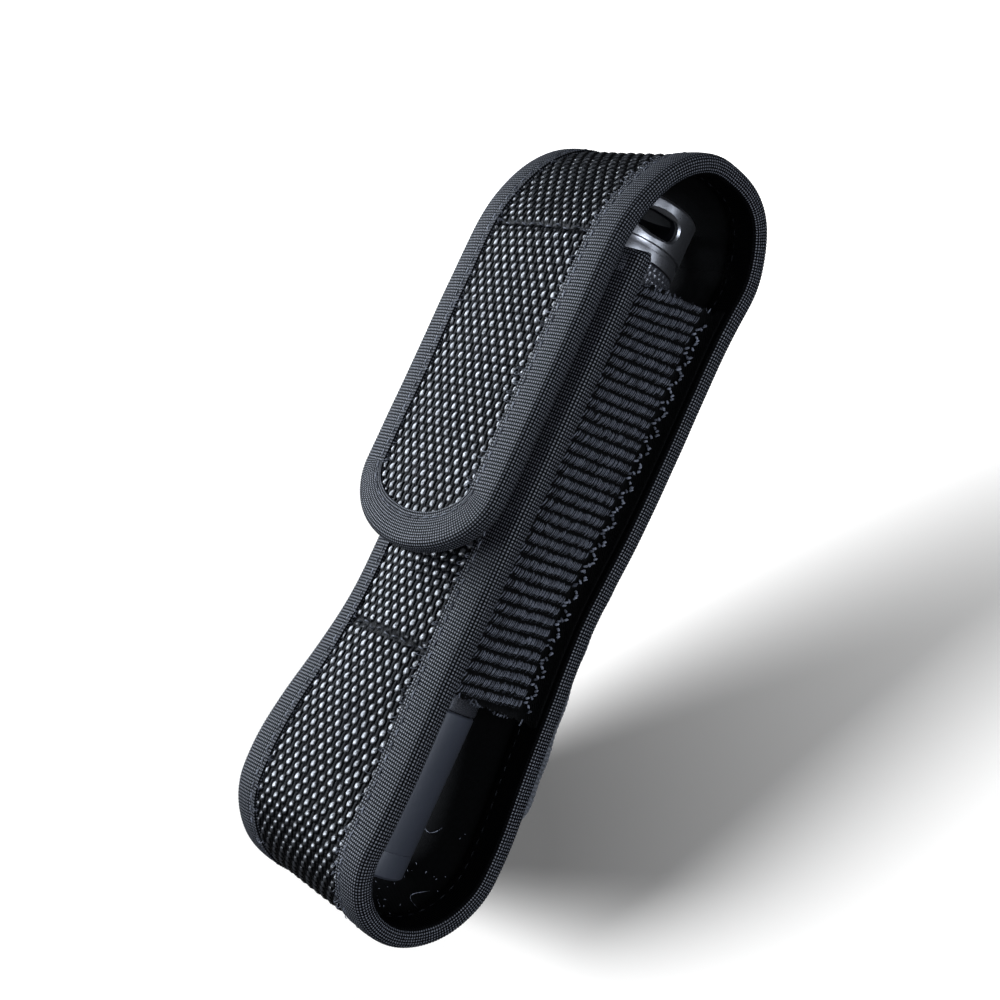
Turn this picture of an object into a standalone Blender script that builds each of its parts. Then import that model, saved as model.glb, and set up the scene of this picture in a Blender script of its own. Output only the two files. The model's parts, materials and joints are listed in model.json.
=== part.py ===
"""A nylon duty pouch that holds a tactical flashlight bezel down under a closed flap.

The pouch is one padded panel: it starts at the mouth, runs down the front, round the bottom, up the
back and over the light as the flap. Heights are measured from the pouch's lowest point and depths
from the outer face of its back panel. The light's own heights are measured from its bezel rim.
Every piece hangs under an empty: the pouch's frame, or the axis on which the piece moves.
"""

import math

import bmesh
import bpy
from mathutils import Matrix, Vector

# Pouch panel
PANEL_WIDTH = 0.050
WAIST_WIDTH = 0.045  # front panel beside the elastic, which pulls its edges in
BODY_DEPTH = 0.0375  # back face to front edges at the rounded bottom
WAIST_DEPTH = 0.0335  # the same beside the elastic
WAIST_LOW, WAIST_HIGH = 0.020, 0.072  # heights between which the front panel draws in
FRONT_BOW = 0.0035  # how far the middle of the front panel stands before its edges
BOTTOM_RADIUS = BODY_DEPTH / 2
MOUTH_HEIGHT = 0.158

# Flap
HINGE_HEIGHT = 0.160
POUCH_HEIGHT = 0.1855
CROWN_DEPTH = 0.0216  # depth at which the arch over the light is highest
FLAP_DEPTH = 0.0444
ARCH_FRONT_HEIGHT = 0.152
ARCH_BACK_POWER = 2.7  # 2 is an ellipse, more is squarer
FLAP_TIP_HEIGHT = 0.078
FLAP_TIP_RISE = 0.0165
FLAP_BOW = 0.001

# Layers of the panel, as depths under the face of the edge binding
TAPE = 0.0005
COVER_DEPTHS = (0.00075, 0.00165)
BOARD_DEPTHS = (0.0019, 0.0028)
LINING_DEPTHS = (0.00305, 0.0036)
EDGE_THICKNESS = 0.00445
EDGE_INSET = 0.00075  # from the edge of the binding to the edge of the layers inside it
BINDING_WIDTH = 0.008
BOARD_INSET = 0.004
GAP = 0.0003

# Hook-and-loop patches and elastic sides
PATCH_HALF_WIDTH = 0.014
LOOP_HEIGHTS = (0.088, 0.126)
HOOK_HEIGHTS = (0.093, 0.122)
LOOP_THICKNESS, HOOK_THICKNESS = 0.0019, 0.0018
ELASTIC_HEIGHTS = (0.054, 0.157)
ELASTIC_THICKNESS = 0.0012

# Belt loop
LOOP_HALF_WIDTH = 0.018
WEBBING = 0.0018
LOOP_STANDOFF = 0.0065  # back panel to the loop's flat outer face
LOOP_BULGE = 0.0085
LOOP_TABS = (0.020, 0.027, 0.119, 0.130)  # lower tab from and to, upper tab from and to
LOOP_FLAT = (0.068, 0.106)
BELT_HEIGHT = 0.090

# Flashlight
LIGHT_DEPTH = 0.0193
LIGHT_HEIGHT = 0.0105
LIGHT_RADIUS = 0.0127
LIGHT_LENGTH = 0.1644
HEAD_SPLIT = 0.0393
TUBE_TOP = 0.1493
KNURL = (0.050, 0.1475)
BORE_RADIUS = 0.0088
CELL_RADIUS = 0.0084
CELL_LENGTH = 0.0342
FIRST_CELL = 0.0343
CELL_COUNT = 3
WINDOW_COUNT = 4
WINDOW_HEIGHTS = (0.1556, 0.1609)
WINDOW_ANGLE = math.radians(52)
WINDOW_TURN = math.radians(-18)

ROUND_STEPS = 32
SMALL_STEPS = 20


# Scene helpers

def clear_scene():
    for obj in list(bpy.data.objects):
        bpy.data.objects.remove(obj, do_unlink=True)


def material(name, color, roughness, metallic=0.0, alpha=1.0):
    made = bpy.data.materials.new(name)
    made.use_nodes = True
    surface = made.node_tree.nodes["Principled BSDF"]
    surface.inputs["Base Color"].default_value = (*color, 1.0)
    surface.inputs["Roughness"].default_value = roughness
    surface.inputs["Metallic"].default_value = metallic
    surface.inputs["Alpha"].default_value = alpha
    made.diffuse_color = (*color, alpha)
    return made


def empty(name, location, parent=None):
    made = bpy.data.objects.new(name, None)
    made.empty_display_size = 0.01
    made.location = location
    made.parent = parent
    bpy.context.scene.collection.objects.link(made)
    return made


def add_object(name, mesh_data, parent, surface, sharp_angle=30):
    """Closes the bmesh into an object under its parent, with outward faces and smooth shading."""
    bmesh.ops.recalc_face_normals(mesh_data, faces=mesh_data.faces)
    mesh = bpy.data.meshes.new(name)
    mesh_data.to_mesh(mesh)
    mesh_data.free()
    mesh.shade_smooth()
    mesh.set_sharp_from_angle(angle=math.radians(sharp_angle))
    made = bpy.data.objects.new(name, mesh)
    made.parent = parent
    if surface:
        mesh.materials.append(surface)
    bpy.context.scene.collection.objects.link(made)
    return made


# Shape helpers

def spaced(start, end, steps):
    return [start + (end - start) * i / steps for i in range(steps + 1)]


def smooth_step(value, low, high):
    t = min(max((value - low) / (high - low), 0.0), 1.0)
    return t * t * (3 - 2 * t)


def loft(rings, closed=False):
    """A tube of quads through rings of points, with flat ends, or joined end to end when closed."""
    mesh_data = bmesh.new()
    rows = [[mesh_data.verts.new(point) for point in ring] for ring in rings]
    pairs = list(zip(rows, rows[1:]))
    if closed:
        pairs.append((rows[-1], rows[0]))
    for first, second in pairs:
        for i in range(len(first)):
            j = (i + 1) % len(first)
            mesh_data.faces.new((first[i], first[j], second[j], second[i]))
    if not closed:
        mesh_data.faces.new(reversed(rows[0]))
        mesh_data.faces.new(rows[-1])
    return mesh_data


def slab(top_rows, bottom_rows):
    """A closed sheet between two grids of points of the same size."""
    mesh_data = bmesh.new()
    top = [[mesh_data.verts.new(point) for point in row] for row in top_rows]
    bottom = [[mesh_data.verts.new(point) for point in row] for row in bottom_rows]
    last_row, last_column = len(top) - 1, len(top[0]) - 1
    for i in range(last_row):
        for j in range(last_column):
            for grid in (top, bottom):
                mesh_data.faces.new((grid[i][j], grid[i][j + 1], grid[i + 1][j + 1], grid[i + 1][j]))
        for j in (0, last_column):
            mesh_data.faces.new((top[i][j], top[i + 1][j], bottom[i + 1][j], bottom[i][j]))
    for j in range(last_column):
        for i in (0, last_row):
            mesh_data.faces.new((top[i][j], top[i][j + 1], bottom[i][j + 1], bottom[i][j]))
    return mesh_data


def turned(name, profile, parent, surface, steps=ROUND_STEPS):
    """A closed profile of (radius, height) turned about the parent's Z axis."""
    mesh_data = bmesh.new()
    corners = [mesh_data.verts.new((radius, 0, height)) for radius, height in profile]
    edges = []
    for i in range(len(corners)):
        j = (i + 1) % len(corners)
        if profile[i][0] > 0 or profile[j][0] > 0:
            edges.append(mesh_data.edges.new((corners[i], corners[j])))
    bmesh.ops.spin(
        mesh_data, geom=corners + edges, cent=(0, 0, 0), axis=(0, 0, 1),
        angle=math.tau, steps=steps, use_merge=True,
    )
    bmesh.ops.remove_doubles(mesh_data, verts=mesh_data.verts, dist=1e-6)
    return add_object(name, mesh_data, parent, surface)


def coil(name, radii, heights, turns, wire, parent, surface):
    """A round wire wound from the first radius and height to the second."""
    per_turn, around = 12, 6
    rings = []
    for i in range(int(turns * per_turn) + 1):
        share = i / (turns * per_turn)
        angle = math.tau * i / per_turn
        radius = radii[0] + (radii[1] - radii[0]) * share
        height = heights[0] + wire + (heights[1] - heights[0] - 2 * wire) * share
        outward = Vector((math.cos(angle), math.sin(angle), 0))
        centre = outward * radius + Vector((0, 0, height))
        turn = [math.tau * k / around for k in range(around)]
        rings.append([centre + wire * (math.cos(a) * outward + math.sin(a) * Vector((0, 0, 1))) for a in turn])
    return add_object(name, loft(rings), parent, surface)


class Panel:
    """A panel bent along a path of (depth, height) points, outer face out.

    A point is placed by its length along the path, its distance across from the middle and its
    depth under the outer face. The panel bows outwards in the middle of its width.
    """

    def __init__(self, path, half_width, bow, origin=(0, 0, 0)):
        self.points = [Vector((0, -depth, height)) - Vector(origin) for depth, height in path]
        self.lengths = [0.0]
        for first, second in zip(self.points, self.points[1:]):
            self.lengths.append(self.lengths[-1] + (second - first).length)
        steps = [(b - a).normalized() for a, b in zip(self.points, self.points[1:])]
        self.normals = []
        for before, after in zip(steps[:1] + steps, steps + steps[-1:]):
            along = (before + after).normalized()
            self.normals.append(Vector((0, along.z, -along.y)))
        self.half_width = half_width
        self.bow = bow

    @property
    def length(self):
        return self.lengths[-1]

    def between(self, start, end):
        """The stations from start to end, with the path's own corners between them."""
        inside = [s for s in self.lengths if start + 1e-4 < s < end - 1e-4]
        return [start] + inside + [end]

    def length_at_height(self, height, front=True):
        """Where the path passes a height, on its first run through it or on its last."""
        found = []
        for i in range(len(self.points) - 1):
            low, high = self.points[i].z, self.points[i + 1].z
            if min(low, high) <= height <= max(low, high) and low != high:
                share = (height - low) / (high - low)
                found.append(self.lengths[i] + share * (self.lengths[i + 1] - self.lengths[i]))
        return found[0] if front else found[-1]

    def frame(self, along):
        last = len(self.points) - 2
        i = next((k for k in range(last) if along < self.lengths[k + 1]), last)
        share = (along - self.lengths[i]) / (self.lengths[i + 1] - self.lengths[i])
        point = self.points[i].lerp(self.points[i + 1], share)
        return point, self.normals[i].lerp(self.normals[i + 1], share).normalized()

    def place(self, along, across, depth):
        point, normal = self.frame(along)
        half = self.half_width(along)
        lift = self.bow(along) * (1 - (across / half) ** 2)
        return point + Vector((across, 0, 0)) + normal * (lift - depth)

    def sheet(self, rows, depths, columns=6):
        """A layer whose rows are (length along, half width)."""
        grids = []
        for depth in depths:
            grid = [[self.place(s, x, depth) for x in spaced(-half, half, columns)] for s, half in rows]
            grids.append(grid)
        return slab(*grids)


def binding_section(place, edge, inner):
    """The U of folded tape round an edge; edge and inner are (along, across) pairs."""
    def point(share, depth):
        along = edge[0] + (inner[0] - edge[0]) * share
        across = edge[1] + (inner[1] - edge[1]) * share
        return place(along, across, depth)

    width = math.dist(edge, inner)
    fold = TAPE / width
    inside = EDGE_THICKNESS - TAPE
    return [
        point(1, 0), point(0, 0), point(0, EDGE_THICKNESS), point(1, EDGE_THICKNESS),
        point(1, inside), point(fold, inside), point(fold, TAPE), point(1, TAPE),
    ]


# Pouch paths

def body_path():
    """From the mouth down the front, round the bottom and up the back to the hinge."""
    path = []
    for height in (MOUTH_HEIGHT, 0.125, 0.095, *spaced(WAIST_HIGH, WAIST_LOW, 6)):
        draw_in = smooth_step(height, WAIST_LOW, WAIST_HIGH)
        path.append((BODY_DEPTH + (WAIST_DEPTH - BODY_DEPTH) * draw_in, height))
    for angle in spaced(0, math.pi, 12):
        depth = BOTTOM_RADIUS * (1 + math.cos(angle))
        path.append((depth, BOTTOM_RADIUS * (1 - math.sin(angle))))
    path.append((0, 0.090))
    path.append((0, HINGE_HEIGHT))
    return path


def flap_path():
    """From the hinge over the light and down the front to the height where the tip starts."""
    path = []
    rise = POUCH_HEIGHT - HINGE_HEIGHT
    for angle in spaced(0, math.pi / 2, 7):
        power = 2 / ARCH_BACK_POWER
        depth = CROWN_DEPTH * (1 - abs(math.cos(angle)) ** power)
        path.append((depth, HINGE_HEIGHT + rise * math.sin(angle) ** power))
    path[-1] = (CROWN_DEPTH, POUCH_HEIGHT)
    rise = POUCH_HEIGHT - ARCH_FRONT_HEIGHT
    reach = FLAP_DEPTH - CROWN_DEPTH
    for angle in spaced(0, math.pi / 2, 7)[1:]:
        path.append((CROWN_DEPTH + reach * math.sin(angle), ARCH_FRONT_HEIGHT + rise * math.cos(angle)))
    path.append((FLAP_DEPTH, 0.122))
    path.append((FLAP_DEPTH, FLAP_TIP_HEIGHT + FLAP_TIP_RISE))
    path.append((FLAP_DEPTH, FLAP_TIP_HEIGHT))
    return path


def body_panel():
    draft = Panel(body_path(), None, None)
    waist_start = draft.length_at_height(WAIST_HIGH)
    waist_end = draft.length_at_height(WAIST_LOW)

    def half_width(along):
        spread = smooth_step(along, waist_start, waist_end)
        return (WAIST_WIDTH + (PANEL_WIDTH - WAIST_WIDTH) * spread) / 2

    def bow(along):
        return FRONT_BOW * (1 - smooth_step(along, waist_start, waist_end + 0.010))

    return Panel(body_path(), half_width, bow)


def flap_panel(hinge):
    draft = Panel(flap_path(), None, None)
    front_start = draft.length_at_height(ARCH_FRONT_HEIGHT, front=False)

    def bow(along):
        return FLAP_BOW * smooth_step(along, front_start - 0.020, front_start)

    return Panel(flap_path(), lambda along: PANEL_WIDTH / 2, bow, origin=hinge.location)


def flap_rows(panel, inset, start=GAP / 2):
    """Rows down the flap whose last ones narrow into the rounded tip."""
    tip_start = panel.length - FLAP_TIP_RISE
    half = PANEL_WIDTH / 2 - inset
    rows = [(s, half) for s in panel.between(start, tip_start)]
    for angle in [math.radians(a) for a in (20, 40, 58, 74, 86)]:
        rows.append((tip_start + (FLAP_TIP_RISE - inset) * math.sin(angle), half * math.cos(angle)))
    return rows


# Pouch pieces

def build_pouch_body(panel, frame, surfaces):
    end = panel.length - GAP / 2

    def rows(start, inset):
        return [(s, panel.half_width(s) - inset) for s in panel.between(start, end)]

    def layer(name, start, inset, depths, surface):
        return add_object(name, panel.sheet(rows(start, inset), depths), frame, surface, 50)

    layer("outer_cover", EDGE_INSET, EDGE_INSET, COVER_DEPTHS, surfaces["cover"])
    layer("stiffener_board", BOARD_INSET, BOARD_INSET, BOARD_DEPTHS, surfaces["board"])
    layer("lining", EDGE_INSET, EDGE_INSET, LINING_DEPTHS, surfaces["lining"])

    for side, name in ((-1, "edge_binding_left"), (1, "edge_binding_right")):
        rings = []
        for s in panel.between(0, end):
            half = panel.half_width(s)
            rings.append(binding_section(panel.place, (s, side * half), (s, side * (half - BINDING_WIDTH))))
        add_object(name, loft(rings), frame, surfaces["tape"], 50)

    reach = panel.half_width(0) - BINDING_WIDTH - GAP
    rings = [binding_section(panel.place, (0, x), (BINDING_WIDTH, x)) for x in spaced(-reach, reach, 4)]
    add_object("mouth_binding", loft(rings), frame, surfaces["tape"], 50)

    top, bottom = (panel.length_at_height(h) for h in reversed(LOOP_HEIGHTS))
    face = COVER_DEPTHS[0] - GAP
    patch = [(s, PATCH_HALF_WIDTH) for s in panel.between(top, bottom)]
    add_object("loop_patch", panel.sheet(patch, (face - LOOP_THICKNESS, face)), frame, surfaces["pile"], 50)


def build_flap(panel, hinge, surfaces):
    def layer(name, inset, depths, surface):
        rows = flap_rows(panel, inset)
        return add_object(name, panel.sheet(rows, depths), hinge, surface, 50)

    layer("flap_cover", EDGE_INSET, COVER_DEPTHS, surfaces["cover"])
    layer("flap_stiffener", BOARD_INSET, BOARD_DEPTHS, surfaces["board"])
    layer("flap_lining", EDGE_INSET, LINING_DEPTHS, surfaces["lining"])

    edge = flap_rows(panel, 0)
    inner = flap_rows(panel, BINDING_WIDTH)
    outline = [((s, -half), (t, -width)) for (s, half), (t, width) in zip(edge, inner)]
    outline.append(((panel.length, 0), (panel.length - BINDING_WIDTH, 0)))
    outline += [((s, half), (t, width)) for (s, half), (t, width) in reversed(list(zip(edge, inner)))]
    rings = [binding_section(panel.place, outer, inward) for outer, inward in outline]
    add_object("flap_binding", loft(rings), hinge, surfaces["tape"], 50)

    heights = [h - HINGE_HEIGHT for h in reversed(HOOK_HEIGHTS)]
    top, bottom = (panel.length_at_height(h, front=False) for h in heights)
    face = LINING_DEPTHS[1] + GAP
    patch = [(s, PATCH_HALF_WIDTH) for s in panel.between(top, bottom)]
    add_object("hook_patch", panel.sheet(patch, (face, face + HOOK_THICKNESS)), hinge, surfaces["hooks"], 50)


def build_elastic(name, side, frame, surface):
    """A stretched side web, flanged on to the insides of the front and back panels."""
    half = ELASTIC_THICKNESS / 2
    back = EDGE_THICKNESS + GAP + half
    plan = [
        (0.0165, 0.0289), (0.0198, 0.0282), (0.0206, 0.0270), (0.0198, 0.0175),
        (0.0192, back + 0.0015), (0.0203, back), (0.0236, back),
    ]
    plan = [Vector((side * x, -depth, 0)) for x, depth in plan]
    steps = [(b - a).normalized() for a, b in zip(plan, plan[1:])]
    outer, inner = [], []
    for point, before, after in zip(plan, steps[:1] + steps, steps + steps[-1:]):
        along = (before + after).normalized()
        normal = Vector((along.y, -along.x, 0))
        outer.append(point + normal * half)
        inner.append(point - normal * half)
    outline = outer + inner[::-1]
    rings = [[point + Vector((0, 0, height)) for point in outline] for height in ELASTIC_HEIGHTS]
    add_object(name, loft(rings), frame, surface, 50)


def build_belt_loop(frame, surface):
    """Webbing sewn to the back at both ends, standing off between them for a belt."""
    low, low_end, high_end, high = LOOP_TABS
    centre = WEBBING / 2
    flat = LOOP_STANDOFF - centre
    bulge = LOOP_BULGE - centre
    tab = GAP + centre
    path = [
        (tab, low), (tab, low_end), (bulge * 0.6, 0.0315), (bulge, 0.0375), (bulge * 0.93, 0.045),
        (flat + 0.0009, 0.056), (flat, LOOP_FLAT[0]), (flat, LOOP_FLAT[1]),
        (flat * 0.6, LOOP_FLAT[1] + 0.007), (tab, high_end), (tab, high),
    ]
    points = [Vector((0, depth, height)) for depth, height in path]
    steps = [(b - a).normalized() for a, b in zip(points, points[1:])]
    rings = []
    for point, before, after in zip(points, steps[:1] + steps, steps + steps[-1:]):
        half_angle = before.angle(after) / 2 if before != after else 0
        along = (before + after).normalized()
        normal = Vector((0, along.z, -along.y)) * (centre / math.cos(half_angle))
        across = Vector((LOOP_HALF_WIDTH, 0, 0))
        rings.append([point - across - normal, point + across - normal,
                      point + across + normal, point - across + normal])
    add_object("belt_loop", loft(rings), frame, surface, 50)


# Flashlight pieces, as profiles of (radius, height) above the bezel rim

def build_head(turn, surfaces):
    radius = LIGHT_RADIUS
    turned("bezel_ring", [
        (0.0117, 0.0100), (0.0117, 0.0060), (radius, 0.0060), (radius, 0.0016), (0.0115, 0),
        (0.0103, 0), (0.0098, 0.0026), (0.0109, 0.0026), (0.0109, 0.0100),
    ], turn, surfaces["black_metal"])
    turned("head_housing", [
        (0.0124, HEAD_SPLIT), (radius, HEAD_SPLIT - 0.0003), (radius, 0.0063), (0.0120, 0.0063),
        (0.0120, 0.0106), (0.0110, 0.0106), (0.0110, 0.0310), (0.0113, 0.0310), (0.0113, HEAD_SPLIT),
    ], turn, surfaces["black_metal"])
    turned("front_lens", [(0, 0.0049), (0.0106, 0.0049), (0.0106, 0.0029), (0, 0.0029)],
           turn, surfaces["glass"], SMALL_STEPS)
    turned("lens_gasket", [(0.0106, 0.0062), (0.0106, 0.0052), (0.0094, 0.0052), (0.0094, 0.0062)],
           turn, surfaces["rubber"], SMALL_STEPS)

    rim, neck, mouth, floor = 0.0099, 0.0032, 0.0065, 0.0225
    bowl = []
    for r in spaced(neck, rim, 5):
        bowl.append((r, floor - (floor - mouth) * (r * r - neck * neck) / (rim * rim - neck * neck)))
    turned("reflector", [
        (neck, 0.0241), (0.0046, 0.0241), (0.0052, 0.0225), (0.0106, 0.0085), (0.0106, mouth), *bowl[::-1],
    ], turn, surfaces["mirror"], SMALL_STEPS)

    turned("led_emitter", [(0, 0.0244), (0.0017, 0.0244), (0.0017, 0.0238), (0.0012, 0.0229), (0, 0.0225)],
           turn, surfaces["phosphor"], 12)
    turned("led_board", [(0, 0.0262), (0.0080, 0.0262), (0.0080, 0.0247), (0, 0.0247)],
           turn, surfaces["board_green"], SMALL_STEPS)
    turned("heat_sink", [
        (0.0090, 0.0307), (0.0106, 0.0307), (0.0106, 0.0265), (0, 0.0265), (0, 0.0281), (0.0090, 0.0281),
    ], turn, surfaces["brass"], SMALL_STEPS)
    turned("driver_board", [(0, 0.0302), (0.0086, 0.0302), (0.0086, 0.0286), (0, 0.0286)],
           turn, surfaces["board_green"], SMALL_STEPS)
    coil("contact_spring", (0.0022, 0.0016), (0.0305, 0.0330), 2, 0.0003, turn, surfaces["brass"])


def build_tube(slide, surfaces):
    spigot, groove, radius = 0.0110, 0.0102, LIGHT_RADIUS
    turned("body_tube", [
        (spigot, 0.1530), (spigot, 0.1520), (groove, 0.1520), (groove, 0.1503), (spigot, 0.1503),
        (spigot, TUBE_TOP), (radius, TUBE_TOP), (radius, KNURL[1]), (radius - 0.0002, KNURL[1]),
        (radius - 0.0002, KNURL[0]), (radius, KNURL[0]), (radius, HEAD_SPLIT + GAP),
        (spigot, HEAD_SPLIT + GAP), (spigot, 0.0379), (groove, 0.0379), (groove, 0.0362),
        (spigot, 0.0362), (spigot, 0.0313), (BORE_RADIUS, 0.0313), (BORE_RADIUS, 0.1530),
    ], slide, surfaces["black_metal"])

    seal_radius, seal_wire, around = 0.01075, 0.0004, 6
    for name, height in (("head_o_ring", 0.03705), ("tail_o_ring", 0.15115)):
        section = []
        for k in range(around):
            angle = -math.tau * k / around
            section.append((seal_radius + seal_wire * math.cos(angle), height + seal_wire * math.sin(angle)))
        turned(name, section, slide, surfaces["rubber"])

    for i in range(CELL_COUNT):
        low = FIRST_CELL + i * (CELL_LENGTH + GAP)
        nub = low + 0.0010
        turned(f"battery_{i + 1}", [
            (0, low + CELL_LENGTH), (CELL_RADIUS, low + CELL_LENGTH), (CELL_RADIUS, nub),
            (0.0030, nub), (0.0030, low), (0, low),
        ], slide, surfaces["cell"], SMALL_STEPS)


def stadium_cutter(name, angle, parent):
    """A bar with rounded ends of section that passes through the crown, making two windows."""
    low, high = WINDOW_HEIGHTS
    round_end = (high - low) / 2
    half = LIGHT_RADIUS * math.sin(WINDOW_ANGLE / 2)
    section = []
    for side in (1, -1):
        for turn in spaced(-math.pi / 2, math.pi / 2, 6):
            across = side * (half - round_end + round_end * math.cos(turn))
            section.append((across, (low + high) / 2 + side * round_end * math.sin(turn)))
    reach = LIGHT_RADIUS * 1.3
    spin = Matrix.Rotation(angle, 3, "Z")
    rings = [[spin @ Vector((x, across, z)) for across, z in section] for x in (-reach, reach)]
    cutter = add_object(name, loft(rings), parent, None)
    cutter.hide_render = True
    cutter.display_type = "WIRE"
    return cutter


def build_tailcap(turn, surfaces):
    radius = LIGHT_RADIUS
    top = LIGHT_LENGTH
    shell = turned("tailcap_shell", [
        (radius - 0.0008, top), (radius, top - 0.0008), (radius, 0.1536), (0.0120, 0.1536),
        (0.0120, 0.1522), (radius, 0.1522), (radius, TUBE_TOP + GAP), (0.0113, TUBE_TOP + GAP),
        (0.0113, 0.1533), (0.0068, 0.1533), (0.0068, 0.1547), (0.0100, 0.1547),
        (0.0100, top - 0.0010), (0.0107, top),
    ], turn, surfaces["gun_metal"])
    for i in range(WINDOW_COUNT // 2):
        cut = shell.modifiers.new(f"windows_{i + 1}", "BOOLEAN")
        cut.operation = "DIFFERENCE"
        angle = WINDOW_TURN + i * math.tau / WINDOW_COUNT
        cut.object = stadium_cutter(f"window_cutter_{i + 1}", angle, turn)

    turned("switch_housing", [
        (0.0033, 0.1503), (0.0083, 0.1503), (0.0083, 0.1456), (0, 0.1456), (0, 0.1463), (0.0033, 0.1463),
    ], turn, surfaces["plastic"], SMALL_STEPS)
    turned("switch_board", [(0, 0.1453), (0.0083, 0.1453), (0.0083, 0.1440), (0, 0.1440)],
           turn, surfaces["board_green"], SMALL_STEPS)
    coil("tail_spring", (0.0030, 0.0058), (0.1380, 0.1437), 3, 0.0004, turn, surfaces["spring"])


def build_button(press, surfaces):
    turned("button_boot", [
        (0, 0.1592), (0.0030, 0.1589), (0.0052, 0.1578), (0.0063, 0.1560), (0.0063, 0.1529),
        (0.0080, 0.1529), (0.0080, 0.1519), (0.0052, 0.1519), (0.0052, 0.1557), (0.0042, 0.1569),
        (0, 0.1578),
    ], press, surfaces["rubber"], SMALL_STEPS)
    turned("switch_plunger", [(0, 0.1574), (0.0028, 0.1570), (0.0028, 0.1480), (0, 0.1480)],
           press, surfaces["plastic"], 12)


def surface_table():
    return {
        "cover": material("ballistic_nylon", (0.018, 0.020, 0.026), 0.55),
        "tape": material("binding_tape", (0.040, 0.044, 0.055), 0.62),
        "lining": material("lining_nylon", (0.008, 0.008, 0.010), 0.80),
        "board": material("stiffener_sheet", (0.030, 0.030, 0.030), 0.70),
        "elastic": material("elastic_web", (0.022, 0.023, 0.024), 0.75),
        "webbing": material("belt_webbing", (0.014, 0.014, 0.016), 0.72),
        "pile": material("loop_pile", (0.010, 0.010, 0.011), 0.95),
        "hooks": material("hook_tape", (0.012, 0.012, 0.013), 0.60),
        "black_metal": material("anodised_black", (0.012, 0.012, 0.013), 0.38, 0.85),
        "gun_metal": material("anodised_gun_metal", (0.10, 0.105, 0.115), 0.30, 0.95),
        "mirror": material("reflector_coat", (0.85, 0.85, 0.86), 0.05, 1.0),
        "glass": material("lens_glass", (0.90, 0.93, 0.95), 0.03, 0.0, 0.35),
        "rubber": material("black_rubber", (0.010, 0.010, 0.010), 0.70),
        "plastic": material("black_plastic", (0.020, 0.020, 0.020), 0.50),
        "board_green": material("circuit_board", (0.02, 0.10, 0.04), 0.50),
        "phosphor": material("led_phosphor", (0.85, 0.70, 0.15), 0.40),
        "brass": material("brass", (0.60, 0.42, 0.15), 0.32, 1.0),
        "spring": material("spring_steel", (0.55, 0.55, 0.56), 0.30, 1.0),
        "cell": material("cell_wrap", (0.06, 0.07, 0.09), 0.40),
    }


def build():
    clear_scene()
    surfaces = surface_table()
    frame = empty("pouch_frame", (0, -LOOP_STANDOFF, -BELT_HEIGHT))
    hinge = empty("flap_hinge_axis", (0, 0, HINGE_HEIGHT), frame)
    slide = empty("light_slide_axis", (0, -LIGHT_DEPTH, LIGHT_HEIGHT), frame)
    head_turn = empty("head_turn_axis", (0, 0, 0), slide)
    tailcap_turn = empty("tailcap_turn_axis", (0, 0, 0), slide)
    press = empty("button_press_axis", (0, 0, 0), tailcap_turn)

    build_pouch_body(body_panel(), frame, surfaces)
    build_flap(flap_panel(hinge), hinge, surfaces)
    build_elastic("elastic_left", -1, frame, surfaces["elastic"])
    build_elastic("elastic_right", 1, frame, surfaces["elastic"])
    build_belt_loop(frame, surfaces["webbing"])
    build_head(head_turn, surfaces)
    build_tube(slide, surfaces)
    build_tailcap(tailcap_turn, surfaces)
    build_button(press, surfaces)


build()
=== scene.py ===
"""The looks of a tactical flashlight that stands bezel down in a closed nylon duty pouch.

The pouch is one long padded panel. It is described once, as a curve from the mouth down the front,
round the bottom, up the back and over the light to the flap's tip. Every soft piece is placed on that
panel by its length along the curve, its distance across and its depth under the outer face.
All lengths are in metres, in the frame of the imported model.
"""

import json
from math import cos, pi, radians, sin, tau

import bmesh
import bpy
import numpy as np
from mathutils import Matrix, Vector


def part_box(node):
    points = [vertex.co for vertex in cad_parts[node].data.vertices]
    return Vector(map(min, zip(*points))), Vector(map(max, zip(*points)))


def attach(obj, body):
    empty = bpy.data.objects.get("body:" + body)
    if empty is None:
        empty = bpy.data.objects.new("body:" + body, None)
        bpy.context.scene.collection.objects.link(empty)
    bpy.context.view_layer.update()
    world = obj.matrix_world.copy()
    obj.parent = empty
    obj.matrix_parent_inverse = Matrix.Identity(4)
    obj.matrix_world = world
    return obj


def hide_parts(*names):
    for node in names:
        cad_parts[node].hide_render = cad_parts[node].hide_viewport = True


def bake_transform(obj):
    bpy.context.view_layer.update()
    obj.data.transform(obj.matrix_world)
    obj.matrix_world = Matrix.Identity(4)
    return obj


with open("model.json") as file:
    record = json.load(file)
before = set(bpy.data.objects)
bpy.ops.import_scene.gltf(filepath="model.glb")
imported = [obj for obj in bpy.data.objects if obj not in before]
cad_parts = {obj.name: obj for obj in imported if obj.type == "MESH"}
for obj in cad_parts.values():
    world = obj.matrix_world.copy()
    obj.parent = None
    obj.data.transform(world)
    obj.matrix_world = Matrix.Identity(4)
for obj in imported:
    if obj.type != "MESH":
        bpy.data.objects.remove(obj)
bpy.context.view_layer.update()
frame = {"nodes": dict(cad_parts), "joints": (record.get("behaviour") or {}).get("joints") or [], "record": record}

MM = 0.001

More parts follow.
